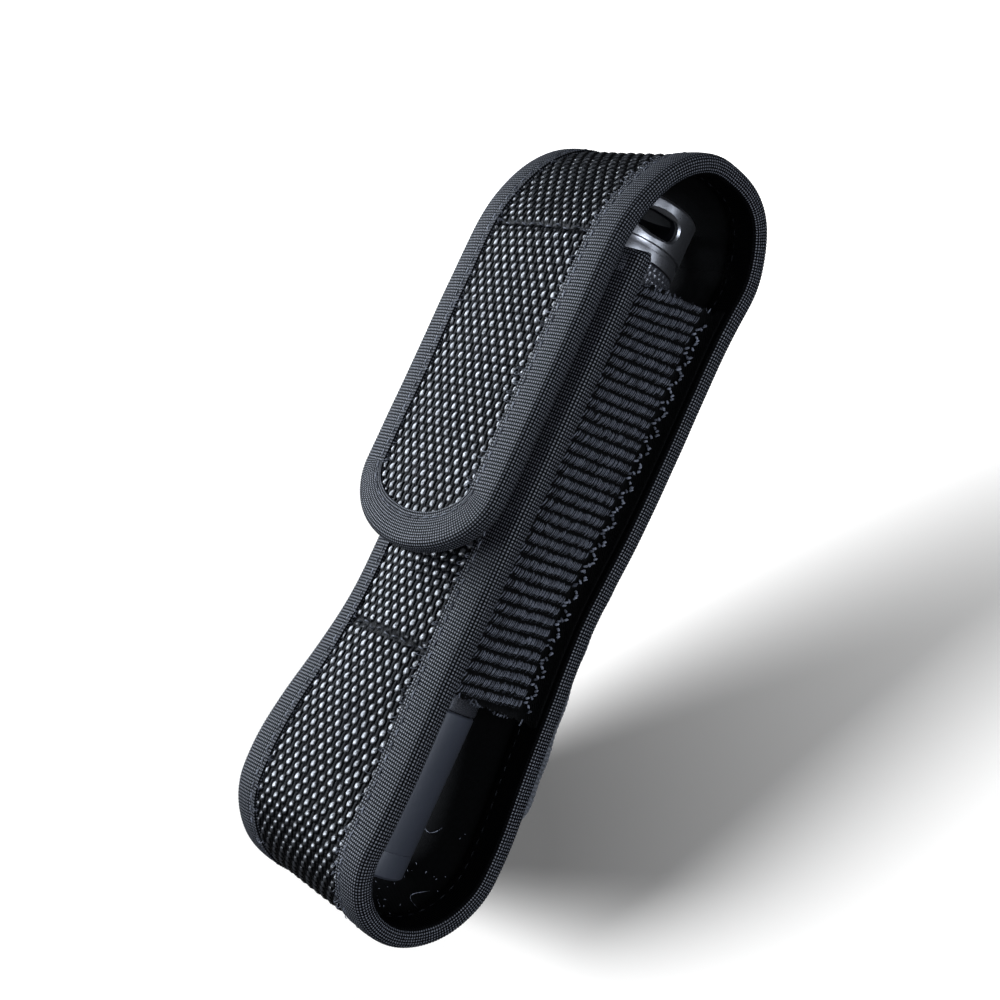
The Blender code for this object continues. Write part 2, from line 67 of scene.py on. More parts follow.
# Panel, from the frame
EDGE_LOW, EDGE_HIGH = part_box("edge_binding_right")
FLAP_LOW, FLAP_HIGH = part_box("flap_binding")
HINGE = Vector(next(j["pos_m"] for j in frame["joints"] if j["name"] == "flap_hinge"))
BACK = EDGE_HIGH.y  # outer face of the back panel
BOTTOM = EDGE_LOW.z
HALF_WIDTH = EDGE_HIGH.x
BODY_DEPTH = BACK - EDGE_LOW.y
MOUTH_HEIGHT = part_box("mouth_binding")[1].z - BOTTOM
HINGE_HEIGHT = HINGE.z - BOTTOM
POUCH_HEIGHT = FLAP_HIGH.z - BOTTOM
FLAP_TIP_HEIGHT = FLAP_LOW.z - BOTTOM
FLAP_BOW = 0.0010
FLAP_DEPTH = BACK - FLAP_LOW.y - FLAP_BOW

# Panel, shape
WAIST_HALF_WIDTH = 0.0225  # front panel beside the elastic
WAIST_DEPTH = 0.0335
WAIST_LOW, WAIST_HIGH = 0.020, 0.072
FRONT_BOW = 0.0035
CROWN_DEPTH = 0.0216
ARCH_FRONT_HEIGHT = 0.152
ARCH_BACK_POWER = 2.7
FLAP_TIP_RISE = 0.0165
BACK_SWAYS = ((0.0020, 0.024, 0.016), (-0.0020, 0.079, 0.020), (0.0012, 0.165, 0.009))
FRONT_TWIST = (0.0023, 0.028, 0.022)  # how far, at what height, over what height
HINGE_REACH = 0.008  # cloth on each side of the hinge line that bends with the flap

# Layers, as depths under the face of the binding
COVER_CREST = 0.00015
COVER_REACH = 0.0190  # half the cover's width, at its widest
BOARD = (0.0019, 0.0028)
LINING = (0.0031, 0.0037)
EDGE_THICKNESS = 0.00445
BINDING_WIDTH = 0.0080
MOUTH_EDGE = 0.0003  # where the mouth's tape starts along the panel
EDGE_ROUND = 0.0016
RIB_PITCH = 0.00076
RIB_HEIGHT = 0.00015

# Thread
THREAD = 0.00017
STITCH_PITCH = 0.0029

# Weave of the cover: plain weave of thick yarns, each laid from three strands
COLUMN = 0.00155
ROW = 0.00203
WEAVE_SKEW = 0.055
FLOAT_SLANT = 0.34
WEAVE_DEPTH = 0.00100
STRANDS = 3

CROSS_STITCH_LOW, CROSS_STITCH_HIGH = 0.0593, 0.1560
COVER_STEPS = (0.028, 0.080, 0.125)  # cuts between the cover's lengths, past the front's waist

# Elastic sides
ELASTIC_LOW, ELASTIC_HIGH = (corner.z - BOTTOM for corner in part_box("elastic_right"))
ELASTIC_PLAN = (
    (16.5, 29.1), (19.0, 28.9), (20.5, 27.6), (20.1, 22.0), (19.6, 15.0),
    (19.1, 8.6), (19.9, 5.9), (21.4, 5.3), (23.6, 5.3),
)  # (distance from the middle, depth) in mm
ELASTIC_THICKNESS = 0.0012
ELASTIC_PITCH = 0.00276
ELASTIC_YARN = 0.00056
ELASTIC_STROKE = 0.00016
ELASTIC_DROP = 0.0055
ELASTIC_RISE = 0.08  # slope of the ribs, from front to back
ZIGZAG_PITCH = 0.0023

# Flashlight
BEZEL_LOW, BEZEL_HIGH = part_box("bezel_ring")
LIGHT_RADIUS = BEZEL_HIGH.x
LIGHT_Y = (BEZEL_LOW.y + BEZEL_HIGH.y) / 2
LIGHT_Z = BEZEL_LOW.z
LIGHT_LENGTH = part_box("tailcap_shell")[1].z - LIGHT_Z
HEAD_JOINT = 0.0393  # joint between head and tube, above the bezel
TUBE_TOP = 0.1493
KNURL_LOW, KNURL_HIGH = 0.050, 0.1488
KNURL_PITCH, KNURL_DEPTH, KNURL_ROUND = 0.0018, 0.00040, 44
WINDOW_LOW, WINDOW_HIGH = 0.1556, 0.1609
WINDOW_TURN, WINDOW_REACH = radians(-18), radians(26)
ROUND_STEPS = 160

# Closure and belt loop
PATCH_HALF_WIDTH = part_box("loop_patch")[1].x
LOOP_HALF_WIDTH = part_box("belt_loop")[1].x

# Camera, measured round the object from its front
CAMERA_AZIMUTH, CAMERA_ELEVATION, CAMERA_ROLL = 51.24, -5.01, 24.56  # degrees
CAMERA_TARGET = Vector((-0.0021, BACK - 0.0210, BOTTOM + 0.0978))
CAMERA_DISTANCE = 0.3486
CAMERA_LENS = 54.57

# Light levels
SURROUND = 0.030
FLOOR_GLOW = 0.14
FLOOR_TILT = radians(48)
SUN_TURN, SUN_HEIGHT = radians(13), radians(25)


# Numbers

def joined(*parts):
    """Arrays side by side, as the last axis of one."""
    return np.stack(np.broadcast_arrays(*parts), -1)


def smooth_step(value, low, high):
    t = np.clip((value - low) / (high - low), 0, 1)
    return t * t * (3 - 2 * t)


def bell(value, centre, width):
    return np.exp(-(((value - centre) / width) ** 2))


def spaced(start, end, step):
    return np.linspace(start, end, max(2, round(abs(end - start) / step) + 1))


def rounded_path(points, step, passes=4):
    """Points along a broken line, smoothed at its corners."""
    points = np.asarray(points, float)
    for _ in range(passes):
        cut = np.empty((2 * len(points) - 2, points.shape[1]))
        cut[0::2] = points[:-1] * 0.75 + points[1:] * 0.25
        cut[1::2] = points[:-1] * 0.25 + points[1:] * 0.75
        points = np.vstack([points[:1], cut, points[-1:]])
    lengths = path_lengths(points)
    return resample(points, lengths, spaced(0, lengths[-1], step))


def path_lengths(points):
    return np.concatenate([[0], np.cumsum(np.linalg.norm(np.diff(points, axis=0), axis=1))])


def resample(points, lengths, at):
    return np.stack([np.interp(at, lengths, points[:, i]) for i in range(points.shape[1])], -1)


def wander(values, scale, amount, seed):
    """A slow, repeatable drift of a value along one axis."""
    draw = np.random.default_rng(seed)
    total = np.zeros_like(values)
    for octave in (1.0, 2.3, 5.1):
        phase, share = draw.uniform(0, tau), draw.uniform(0.6, 1.0)
        total += share / octave * np.sin(values / scale * octave + phase)
    return total * amount / 1.6


# Meshes

def linked(name, data):
    made = bpy.data.objects.new(name, data)
    bpy.context.scene.collection.objects.link(made)
    return made


def mesh_object(name, points, faces, cloth=None, fibre=None):
    """A smooth mesh from points and equal-sided faces.

    cloth holds (across, along, height) in mm and fibre the direction across each point's fibres.
    """
    mesh = bpy.data.meshes.new(name)
    points = np.ascontiguousarray(points, np.float32).reshape(-1, 3)
    faces = np.ascontiguousarray(faces, np.int32)
    mesh.vertices.add(len(points))
    mesh.vertices.foreach_set("co", points.ravel())
    mesh.loops.add(faces.size)
    mesh.loops.foreach_set("vertex_index", faces.ravel())
    mesh.polygons.add(len(faces))
    mesh.polygons.foreach_set("loop_start", np.arange(0, faces.size, faces.shape[1], dtype=np.int32))
    mesh.update(calc_edges=True)
    for key, values in (("cloth", cloth), ("fibre", fibre)):
        if values is not None:
            layer = mesh.attributes.new(key, "FLOAT_VECTOR", "POINT")
            layer.data.foreach_set("vector", np.ascontiguousarray(values, np.float32).ravel())
    mesh.shade_smooth()
    return linked(name, mesh)


def grid_faces(rows, columns, closed=False, flip=False, looped=False):
    """Four-sided faces of a grid; closed joins its last column to its first, looped its rows."""
    index = np.arange(rows * columns).reshape(rows, columns)
    if closed:
        index = np.column_stack([index, index[:, :1]])
    if looped:
        index = np.vstack([index, index[:1]])
    corners = [index[:-1, :-1], index[1:, :-1], index[1:, 1:], index[:-1, 1:]]
    if flip:
        corners.reverse()
    return np.stack(corners, -1).reshape(-1, 4)


def grid_object(name, points, cloth=None, fibre=None, **shape):
    return mesh_object(name, points, grid_faces(*points.shape[:2], **shape), cloth, fibre)


def double_sheet(name, outer, inner, cloth, flip=False):
    """A closed sheet from the grids of its two faces, which share one cloth."""
    points = np.concatenate([outer, inner[:, ::-1]], 1)
    cloth = np.concatenate([cloth, cloth[:, ::-1]], 1)
    return grid_object(name, points, cloth, closed=True, flip=flip)


def directions(points, axis):
    """The unit direction in which a grid of points runs along one of its axes."""
    step = np.gradient(points, axis=axis)
    return step / np.maximum(np.linalg.norm(step, axis=-1, keepdims=True), 1e-12)


def tubes(name, paths, radius, around=6):
    """Round threads along paths of points, with pointed ends, as one mesh.

    Its cloth attribute holds a random value for each thread, and the place round and along it.
    """
    draw = np.random.default_rng(1)
    all_points, all_faces, all_cloth, start = [], [], [], 0
    turn = np.linspace(0, tau, around, endpoint=False)
    for path in paths:
        path = np.asarray(path, float)
        count = len(path)
        along = np.gradient(path, axis=0)
        along /= np.linalg.norm(along, axis=1)[:, None]
        side = np.cross(along, (0.31, 0.23, 0.92))
        side /= np.linalg.norm(side, axis=1)[:, None]
        up = np.cross(side, along)
        share = np.linspace(-0.97, 0.97, count)
        size = radius * np.sqrt(np.clip(1 - share ** 6, 0.05, 1))
        ring = side[:, None] * np.cos(turn)[:, None] + up[:, None] * np.sin(turn)[:, None]
        points = path[:, None] + ring * size[:, None, None]
        all_points.append(points.reshape(-1, 3))
        all_cloth.append(joined(draw.random(), turn / tau, share[:, None]).reshape(-1, 3))
        all_faces.append(grid_faces(count, around, closed=True, flip=True) + start)
        start += count * around
    return mesh_object(name, np.vstack(all_points), np.vstack(all_faces), np.vstack(all_cloth))


def eased(profile, size):
    """A closed profile of (radius, height) with rounded corners, apart from those on the axis."""
    corners = np.array(profile, float)
    points = []
    for before, corner, after in zip(np.roll(corners, 1, 0), corners, np.roll(corners, -1, 0)):
        if corner[0] == 0:
            points.append(corner)
            continue
        back, ahead = before - corner, after - corner
        lengths = np.linalg.norm(back), np.linalg.norm(ahead)
        reach = min(size, *(0.4 * length for length in lengths))
        start = corner + back / lengths[0] * reach
        end = corner + ahead / lengths[1] * reach
        for t in (0, 0.3, 0.7, 1):
            points.append((1 - t) ** 2 * start + 2 * t * (1 - t) * corner + t * t * end)
    return np.array(points)


def from_bmesh(name, mesh_data):
    """An object from a finished bmesh, moved to the light's axis, with its steep edges sharp."""
    mesh = bpy.data.meshes.new(name)
    mesh_data.to_mesh(mesh)
    mesh_data.free()
    mesh.transform(Matrix.Translation((0, LIGHT_Y, LIGHT_Z)))
    mesh.shade_smooth()
    mesh.set_sharp_from_angle(angle=radians(40))
    return linked(name, mesh)


def neighbours(count):
    """The index of each corner of a ring, with that of the next."""
    return [(i, (i + 1) % count) for i in range(count)]


def turned(name, profile, ease, steps=ROUND_STEPS):
    """A closed profile of (radius, height above the bezel) turned round the light's axis."""
    profile = eased(profile, ease)
    mesh_data = bmesh.new()
    corners = [mesh_data.verts.new((radius, 0, height)) for radius, height in profile]
    edges = [
        mesh_data.edges.new((corners[i], corners[j]))
        for i, j in neighbours(len(corners)) if profile[i][0] > 0 or profile[j][0] > 0
    ]
    bmesh.ops.spin(
        mesh_data, geom=corners + edges, cent=(0, 0, 0), axis=(0, 0, 1),
        angle=tau, steps=steps, use_merge=True,
    )
    bmesh.ops.remove_doubles(mesh_data, verts=mesh_data.verts, dist=1e-7)
    bmesh.ops.recalc_face_normals(mesh_data, faces=mesh_data.faces)
    return from_bmesh(name, mesh_data)


def place_piece(piece, body, slot, *nodes, look=None):
    """Rides a finished piece on its body, with its material, in place of CAD nodes.

    The material is the slot's own, or the named look where a piece differs from its slot.
    """
    piece.data.materials.append(SURFACES[look or slot])
    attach(piece, body)
    if nodes:
        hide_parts(*nodes)
    return piece


# The panel

class Panel:
    """The pouch's one long panel, from its mouth to the flap's tip."""

    def __init__(self):
        path = self.body_path()
        hinge_point = len(path) - 1
        path = np.vstack([path, self.flap_path()[1:]])
        lengths = path_lengths(path)
        dense = spaced(0, lengths[-1], 0.00025)
        self.points = self.sway(resample(path, lengths, dense))
        self.lengths = path_lengths(self.points)
        self.hinge = self.lengths[np.searchsorted(dense, lengths[hinge_point])]
        along = np.gradient(self.points, self.lengths, axis=0)
        reach = np.ones(9) / 9
        along = np.stack([np.convolve(np.pad(a, 4, "edge"), reach, "valid") for a in along.T], -1)
        along /= np.linalg.norm(along, axis=1)[:, None]
        self.normals = joined(along[:, 1], -along[:, 0])
        self.length = self.lengths[-1]
        self.flap_start = self.hinge + HINGE_REACH
        self.body_end = self.hinge - HINGE_REACH
        self.tip_start = self.length - FLAP_TIP_RISE
        self.waist_start = self.at_height(WAIST_HIGH)
        self.waist_end = self.at_height(WAIST_LOW)
        self.arch_end = self.at_height(ARCH_FRONT_HEIGHT, last=True)

    @staticmethod
    def body_path():
        """(y, z) points from the mouth down the front, round the bottom and up to the hinge."""
        heights = spaced(MOUTH_HEIGHT, BODY_DEPTH / 2, 0.001)
        draw_in = smooth_step(heights, WAIST_LOW, WAIST_HIGH)
        depths = BODY_DEPTH + (WAIST_DEPTH - BODY_DEPTH) * draw_in
        turn = np.linspace(0, pi, 91)[1:]
        radius = BODY_DEPTH / 2
        bottom = joined(radius * (1 + np.cos(turn)), radius * (1 - np.sin(turn)))
        rise = spaced(radius, HINGE_HEIGHT, 0.001)[1:]
        path = np.vstack([joined(depths, heights), bottom, joined(0.0, rise)])
        return joined(BACK - path[:, 0], BOTTOM + path[:, 1])

    @staticmethod
    def flap_path():
        """(y, z) points from the hinge over the light and down to the flap's tip."""
        turn = np.linspace(0, pi / 2, 61)
        power = 2 / ARCH_BACK_POWER
        rise = POUCH_HEIGHT - HINGE_HEIGHT
        back = joined(
            CROWN_DEPTH * (1 - np.cos(turn) ** power), HINGE_HEIGHT + rise * np.sin(turn) ** power,
        )
        back[-1] = (CROWN_DEPTH, POUCH_HEIGHT)
        rise = POUCH_HEIGHT - ARCH_FRONT_HEIGHT
        front = joined(
            CROWN_DEPTH + (FLAP_DEPTH - CROWN_DEPTH) * np.sin(turn),
            ARCH_FRONT_HEIGHT + rise * np.cos(turn),
        )[1:]
        straight = spaced(ARCH_FRONT_HEIGHT, FLAP_TIP_HEIGHT, 0.001)[1:]
        path = np.vstack([back, front, joined(FLAP_DEPTH, straight)])
        return joined(BACK - path[:, 0], BOTTOM + path[:, 1])

    @staticmethod
    def sway_at(y, z):
        """How far the soft back stands out at a height, fading towards the front."""
        height = z - BOTTOM
        out = sum(size * bell(height, centre, width) for size, centre, width in BACK_SWAYS)
        return out * (1 - smooth_step(BACK - y, 0.006, 0.022))

    @classmethod
    def sway(cls, points):
        moved = points.copy()
        moved[:, 0] += cls.sway_at(points[:, 0], points[:, 1])
        return moved

    def at_height(self, height, last=False):
        """The length along the panel where it passes a height, on its first or its last run."""
        above = self.points[:, 1] - BOTTOM > height
        crossings = np.nonzero(above[1:] != above[:-1])[0]
        return self.lengths[crossings[-1 if last else 0]]

    def half_width(self, along):
        spread = smooth_step(along, self.waist_start, self.waist_end)
        return WAIST_HALF_WIDTH + (HALF_WIDTH - WAIST_HALF_WIDTH) * spread

    def bow(self, along):
        body = FRONT_BOW * (1 - smooth_step(along, self.waist_start, self.waist_end + 0.010))
        flap = FLAP_BOW * smooth_step(along, self.arch_end - 0.020, self.arch_end)
        return body + flap

    def place(self, along, across, depth):
        """Points of the frame for arrays of length along, distance across and depth."""
        y, z, normal_y, normal_z = (
            np.interp(along, self.lengths, values)
            for values in (*self.points.T, *self.normals.T)
        )
        size, height, over = FRONT_TWIST
        front = (1 - smooth_step(along, self.waist_end, self.waist_end + 0.045))
        y = y + size * across / HALF_WIDTH * bell(z - BOTTOM, height, over) * front
        lift = self.bow(along) * (1 - (across / self.half_width(along)) ** 2)
        lift = lift + wander(along + 0.3 * across, 0.011, 0.00016, 3)
        return joined(across, y + normal_y * (lift - depth), z + normal_z * (lift - depth))


PANEL = Panel()


def slab(name, along, reach, depths):
    """A closed sheet of the panel between two depths, with rounded ends."""
    outer, inner = depths
    middle = (outer + inner) / 2
    across = np.linspace(-1, 1, 41) * np.broadcast_to(reach, along.shape)[:, None]
    s = np.broadcast_to(along[:, None], across.shape)
    s, across = (np.vstack([grid[:1], grid, grid[-1:]]) for grid in (s, across))
    thick = np.ones(len(s))
    thick[[0, -1]] = 0.1
    top = PANEL.place(s, across, middle + (outer - middle) * thick[:, None])
    low = PANEL.place(s, across, middle + (inner - middle) * thick[:, None])
    return double_sheet(name, top, low, joined(across / MM, s / MM, 1.0))


def stitch_run(line, outward, pitch, share=0.76, lift=0.00016, sink=0.00022):
    """Stitches along a line of points: short arches that dive into the cloth at both ends."""
    run = path_lengths(line)
    arch = np.sin(np.linspace(0, pi, 9))
    paths = []
    for k in range(int(run[-1] / pitch)):
        at = np.linspace(k, k + share, len(arch)) * pitch
        rise = lift * arch - sink * (1 - arch)
        paths.append(resample(line, run, at) + resample(outward, run, at) * rise[:, None])
    return paths


def panel_stitches(along, across, depth, pitch, **shape):
    """Stitches on the panel along points of (along, across); a depth past the middle is its inside."""
    line = PANEL.place(along, across, depth)
    outward = line - PANEL.place(along, across, depth + MM)
    if depth > EDGE_THICKNESS / 2:
        outward = -outward
    return stitch_run(line, outward / MM, pitch, **shape)


# Weave

FLOAT_RANDOM = np.random.default_rng(7).normal(0, 1, (64, 512, 2))


def weave(across, along):
    """The height of the weave, from 0 in its pits to 1 on its crests, and where warp lies on top."""
    u = across / COLUMN
    v = (along + WEAVE_SKEW * across) / ROW
    u = u + 0.035 * np.sin(v * 0.9 + u * 0.13)
    column, row = np.floor(u).astype(int), np.floor(v).astype(int)
    draw = FLOAT_RANDOM[column % 64, row % 512]
    u_in, v_in = u - column - 0.5, v - row - 0.5
    over = np.where((column + row) % 2 == 0, 1.0, -1.0)
    warp_rise = over * np.cos(pi * v_in) ** 0.45
    weft_rise = -over * np.cos(pi * u_in)
    leaning = u_in + FLOAT_SLANT * v_in * (over > 0) + 0.03 * draw[..., 0] * np.cos(pi * v_in)
    width = 0.31 + 0.06 * warp_rise
    warp = np.clip(1 - (leaning / width) ** 2, 0, 1) ** 0.5
    weft = np.sqrt(np.clip(1 - (v_in / 0.52) ** 2, 0, 1))
    strand = np.abs(np.cos(pi * STRANDS * (leaning / (2 * width) + 0.5 + 0.10 * v_in)))
    weft_strand = np.abs(np.cos(pi * 2 * v_in))
    warp_height = 0.50 * warp_rise + 0.34 * warp - 0.19 * strand * warp + 0.02 * draw[..., 1]
    weft_height = 0.36 * weft_rise + 0.30 * weft - 0.09 * weft_strand - 0.21
    height = np.maximum(warp_height, weft_height)
    return np.clip((height + 0.25) / 1.1, 0, 1), warp_height > weft_height


def cross_rows():
    """The cover's two rows of cross stitching, as (length along, from, to)."""
    return (
        (PANEL.at_height(CROSS_STITCH_LOW), -0.0185, 0.0170),
        (PANEL.at_height(CROSS_STITCH_HIGH, last=True), -0.0165, 0.0190),
    )


def cover_piece(name, start, end):
    """A stretch of the outer cover, woven between the bindings and flat under them."""
    along = spaced(start, end, ROW / 6)
    across = np.arange(-COVER_REACH, COVER_REACH, COLUMN / 12)
    s, x = np.meshgrid(along, across, indexing="ij")
    inner = np.where(s > PANEL.tip_start, tip_reach(s), PANEL.half_width(s)) - BINDING_WIDTH
    limit = np.maximum(inner + 0.0022, 0.0006)
    x = x * np.minimum(1, limit / COVER_REACH) if end > PANEL.tip_start else np.clip(x, -limit, limit)
    height, warp_on_top = weave(x, s)
    # Beside the bindings the weave flattens, and since its height drives the cover's colour it also darkens there:
    # painted shade where the cover meets the tape.
    shown = smooth_step(inner - np.abs(x), -0.0006, 0.0010)
    # The cross stitches pull the weave flat; the flattened height also darkens the colour along each row, as
    # painted shade in the seam.
    for at, left, right in cross_rows():
        inside = smooth_step(x, left - 0.001, left) * (1 - smooth_step(x, right, right + 0.001))
        shown = shown * (1 - 0.80 * bell(s, at, 0.0008) * inside)
    depth = COVER_CREST + WEAVE_DEPTH * (1 - height * shown)
    points = PANEL.place(s, x, depth)
    cloth = joined(x / MM, s / MM, height * shown)
    level = PANEL.place(s, x, 0.0)
    fibre = np.where(warp_on_top[..., None], directions(level, 1), directions(level, 0))
    return grid_object(name, points, cloth, fibre)


def tip_reach(along):
    """Half the flap's width at a length along its rounded tip."""
    share = np.clip((along - PANEL.tip_start) / FLAP_TIP_RISE, 0, 1)
    return HALF_WIDTH * np.sqrt(1 - share ** 2)


# Binding

def binding_profile():
    """(inward, depth) points of the tape folded round an edge, outer face first."""
    turn = np.linspace(0, pi / 2, 6)
    face = spaced(BINDING_WIDTH, EDGE_ROUND, 0.0008)[:-1]
    puff = 0.00012 * np.sin(np.clip((face - EDGE_ROUND) / 0.0048, 0, 1) * pi)
    dent = 0.00022 * bell(face, BINDING_WIDTH - 0.0012, 0.0006)
    outer = joined(face, dent - puff)
    top = joined(EDGE_ROUND * (1 - np.sin(turn)), EDGE_ROUND * (1 - np.cos(turn)))
    low = EDGE_THICKNESS - EDGE_ROUND
    base = joined(EDGE_ROUND * (1 - np.cos(turn)), low + EDGE_ROUND * np.sin(turn))
    inner = joined(face[::-1], EDGE_THICKNESS)
    width, thick = BINDING_WIDTH, EDGE_THICKNESS
    lip_out = [(width - 0.0003, 0.0012), (width + 0.00005, 0.0007), (width + 0.0001, 0.0002)]
    lip_in = [(width + 0.0001, thick - 0.0002), (width, thick - 0.0008)]
    return np.vstack([lip_out, outer, top, base, inner, lip_in])


def ribs(length, across):
    """The height of the tape's cross ribs, from 0 between them to 1 on them."""
    phase = (length + 0.05 * across + wander(length, 0.013, 0.00025, 11)) / RIB_PITCH
    rib = np.abs(np.sin(pi * phase))
    return rib ** 0.8


def binding_piece(name, edge, inward, flip=False, shut=()):
    """Tape round an edge, given as (along, across) points and the directions into the cloth from them.

    shut lists the ends, 0 for the first and 1 for the last, where the tape is folded flat.
    """
    profile = binding_profile()
    run = path_lengths(edge)
    steps = spaced(0, run[-1], RIB_PITCH / 5)
    edge = resample(edge, run, steps)
    inward = resample(inward, run, steps)
    loose = profile[None, :, 0] > BINDING_WIDTH - MM
    inset = profile[None, :, 0] + wander(steps, 0.004, 0.00015, 5)[:, None] * loose
    rib = ribs(steps[:, None], inset)
    outline = np.gradient(profile, axis=0)
    outline /= np.maximum(np.linalg.norm(outline, axis=1), 1e-9)[:, None]
    inset = inset - rib * RIB_HEIGHT * outline[None, :, 1]
    depth = profile[None, :, 1] + rib * RIB_HEIGHT * outline[None, :, 0]
    open_share = np.ones_like(steps)
    for end in shut:
        distance = np.abs(steps - steps[-end])
        open_share *= np.sqrt(np.clip(distance / EDGE_ROUND, 0, 1))
    middle = EDGE_THICKNESS / 2
    depth = middle + (depth - middle) * open_share[:, None]
    along = edge[:, :1] + inward[:, :1] * inset
    across = edge[:, 1:] + inward[:, 1:] * inset
    points = PANEL.place(along, across, depth)
    girth = path_lengths(profile)
    # Painted shade: on the tape's inner face the rib height, which drives the tape's colour and reflection, drops
    # to a twentieth.
    outside = 1 - 0.95 * smooth_step(profile[None, :, 1], EDGE_THICKNESS - 0.0006, EDGE_THICKNESS)
    cloth = joined(girth / MM, steps[:, None] / MM, rib * outside)
    return grid_object(name, points, cloth, flip=flip)


def side_edge(start, end, side):
    along = spaced(start, end, 0.0005)
    edge = joined(along, side * PANEL.half_width(along))
    inward = joined(np.zeros_like(along), -side)
    return edge, inward


def flap_edge():
    """The flap's edge down one side, round the tip and up the other."""
    left, left_in = side_edge(PANEL.flap_start, PANEL.tip_start, -1)
    turn = np.linspace(pi, 0, 181)[1:-1]
    tip = joined(PANEL.tip_start + FLAP_TIP_RISE * np.sin(turn), HALF_WIDTH * np.cos(turn))
    tip_in = -joined(np.sin(turn) / FLAP_TIP_RISE, np.cos(turn) / HALF_WIDTH)
    tip_in /= np.linalg.norm(tip_in, axis=1)[:, None]
    right, right_in = side_edge(PANEL.flap_start, PANEL.tip_start, 1)
    return np.vstack([left, tip, right[::-1]]), np.vstack([left_in, tip_in, right_in[::-1]])


# Materials

class Nodes:
    """A short way to write the node tree of a material, or of the world."""

    def __init__(self, name, kind=bpy.data.materials):
        self.made = kind.new(name)
        self.made.use_nodes = True
        self.tree = self.made.node_tree
        self.surface = self.tree.nodes.get("Principled BSDF")

    def add(self, kind, inputs=None, **settings):
        node = self.tree.nodes.new("ShaderNode" + kind)
        for key, value in settings.items():
            setattr(node, key, value)
        for key, value in (inputs or {}).items():
            self.put(node.inputs[key], value)
        return node

    def put(self, socket, value):
        if isinstance(value, bpy.types.NodeSocket):
            self.tree.links.new(value, socket)
        else:
            socket.default_value = value

    def set(self, **values):
        """Fills the surface's inputs and returns the material."""
        for key, value in values.items():
            self.put(self.surface.inputs[key.replace("_", " ")], value)
        return self.made

    def math(self, operation, first, second=0.0):
        return self.add("Math", {0: first, 1: second}, operation=operation).outputs[0]

    def times(self, first, second):
        return self.math("MULTIPLY", first, second)

    def plus(self, first, second):
        return self.math("ADD", first, second)

    def wave(self, value, length):
        return self.math("SINE", self.times(value, tau / length))

    def mix(self, share, first, second):
        node = self.add("Mix", data_type="RGBA")
        for key, value in (("Factor", share), ("A", first), ("B", second)):
            self.put(node.inputs[key], value)
        return node.outputs["Result"]

    def scaled(self, value, low, high, to_low=0.0, to_high=1.0):
        node = self.add("MapRange", {
            "Value": value, "From Min": low, "From Max": high, "To Min": to_low, "To Max": to_high,
        })
        return node.outputs["Result"]

    def spread(self, noise, low, high):
        """The middle range of a noise, scaled to run from low to high."""
        return self.scaled(noise, 0.3, 0.7, low, high)

    def noise(self, scale, vector, detail=3.0, roughness=0.5):
        inputs = {"Vector": vector, "Scale": scale, "Detail": detail, "Roughness": roughness}
        return self.add("TexNoise", inputs).outputs["Fac"]

    def stretched(self, vector, scale):
        return self.add("Mapping", {"Vector": vector, "Scale": scale}).outputs["Vector"]

    def bump(self, height, distance, strength):
        node = self.add("Bump", {"Height": height, "Distance": distance, "Strength": strength})
        return node.outputs["Normal"]

    def position(self):
        return self.add("NewGeometry").outputs["Position"]

    def cloth(self):
        """(across, along, height) of the cloth, as one vector and as three values."""
        vector = self.add("Attribute", attribute_name="cloth").outputs["Vector"]
        return vector, self.add("SeparateXYZ", {"Vector": vector}).outputs


def grey(value, blue=1.0):
    return (value, value * (1 + 0.06 * blue), value * (1 + 0.28 * blue), 1.0)


def paint(colour, share=1.0):
    """A colour, darkened to a share of itself."""
    return (*(c * share for c in colour), 1.0)


def across_fibres(nodes):
    """The direction across the fibres, for a highlight that spreads over a bundle's width."""
    fibre = nodes.add("Attribute", attribute_name="fibre").outputs["Vector"]
    settings = {"vector_type": "VECTOR", "convert_from": "OBJECT", "convert_to": "WORLD"}
    return nodes.add("VectorTransform", {"Vector": fibre}, **settings).outputs["Vector"]


def woven_cover():
    """Glossy filament yarn, black between the floats and brighter on their crests: painted shade in the pits and
    on the low weft floats.
    """
    nodes = Nodes("woven_cover")
    vector, (_, _, height) = nodes.cloth()
    patches = nodes.noise(0.35, vector, 2.0)
    fibres = nodes.noise(1.0, nodes.stretched(vector, (14.0, 2.0, 0.0)), 2.0)
    # Painted shade and highlight: the crest share darkens the colour in the pits and on the low weft floats, and
    # keeps the strong reflection to the float crests.
    crest = nodes.math("POWER", nodes.scaled(height, 0.57, 0.98), 1.8)
    colour = nodes.mix(crest, grey(0.0004), grey(0.032, 0.7))
    return nodes.set(
        Base_Color=nodes.mix(nodes.spread(patches, 0.0, 0.3), colour, grey(0.003, 1.2)),
        Roughness=nodes.spread(fibres, 0.25, 0.37),
        Normal=nodes.bump(fibres, 0.00006, 0.7),
        Tangent=across_fibres(nodes),
        Anisotropic=0.6,
        IOR=1.75,
        Specular_IOR_Level=nodes.scaled(crest, 0.0, 0.8, 0.02, 1.0),
    )


def binding_tape():
    """Ribbed polyester tape with a finer thread along it."""
    nodes = Nodes("binding_tape")
    vector, (across, _, height) = nodes.cloth()
    thread = nodes.wave(across, 0.62)
    fuzz = nodes.noise(6.0, vector)
    rib = nodes.scaled(height, 0.25, 0.95)
    dots = nodes.times(rib, nodes.scaled(thread, -0.9, 0.5, 0.12, 1.0))
    # Painted shade and highlight: the colour is dark between the ribs and on the tape's inner face, and the strong
    # reflection stays on the rib crests.
    crest = nodes.math("POWER", dots, 2.6)
    return nodes.set(
        Base_Color=nodes.mix(crest, grey(0.0004), grey(0.070, 0.8)),
        Roughness=nodes.spread(fuzz, 0.45, 0.62),
        Normal=nodes.bump(nodes.plus(nodes.times(thread, 0.35), fuzz), 0.00012, 0.7),
        Specular_IOR_Level=nodes.scaled(crest, 0.0, 0.8, 0.03, 0.50),
    )


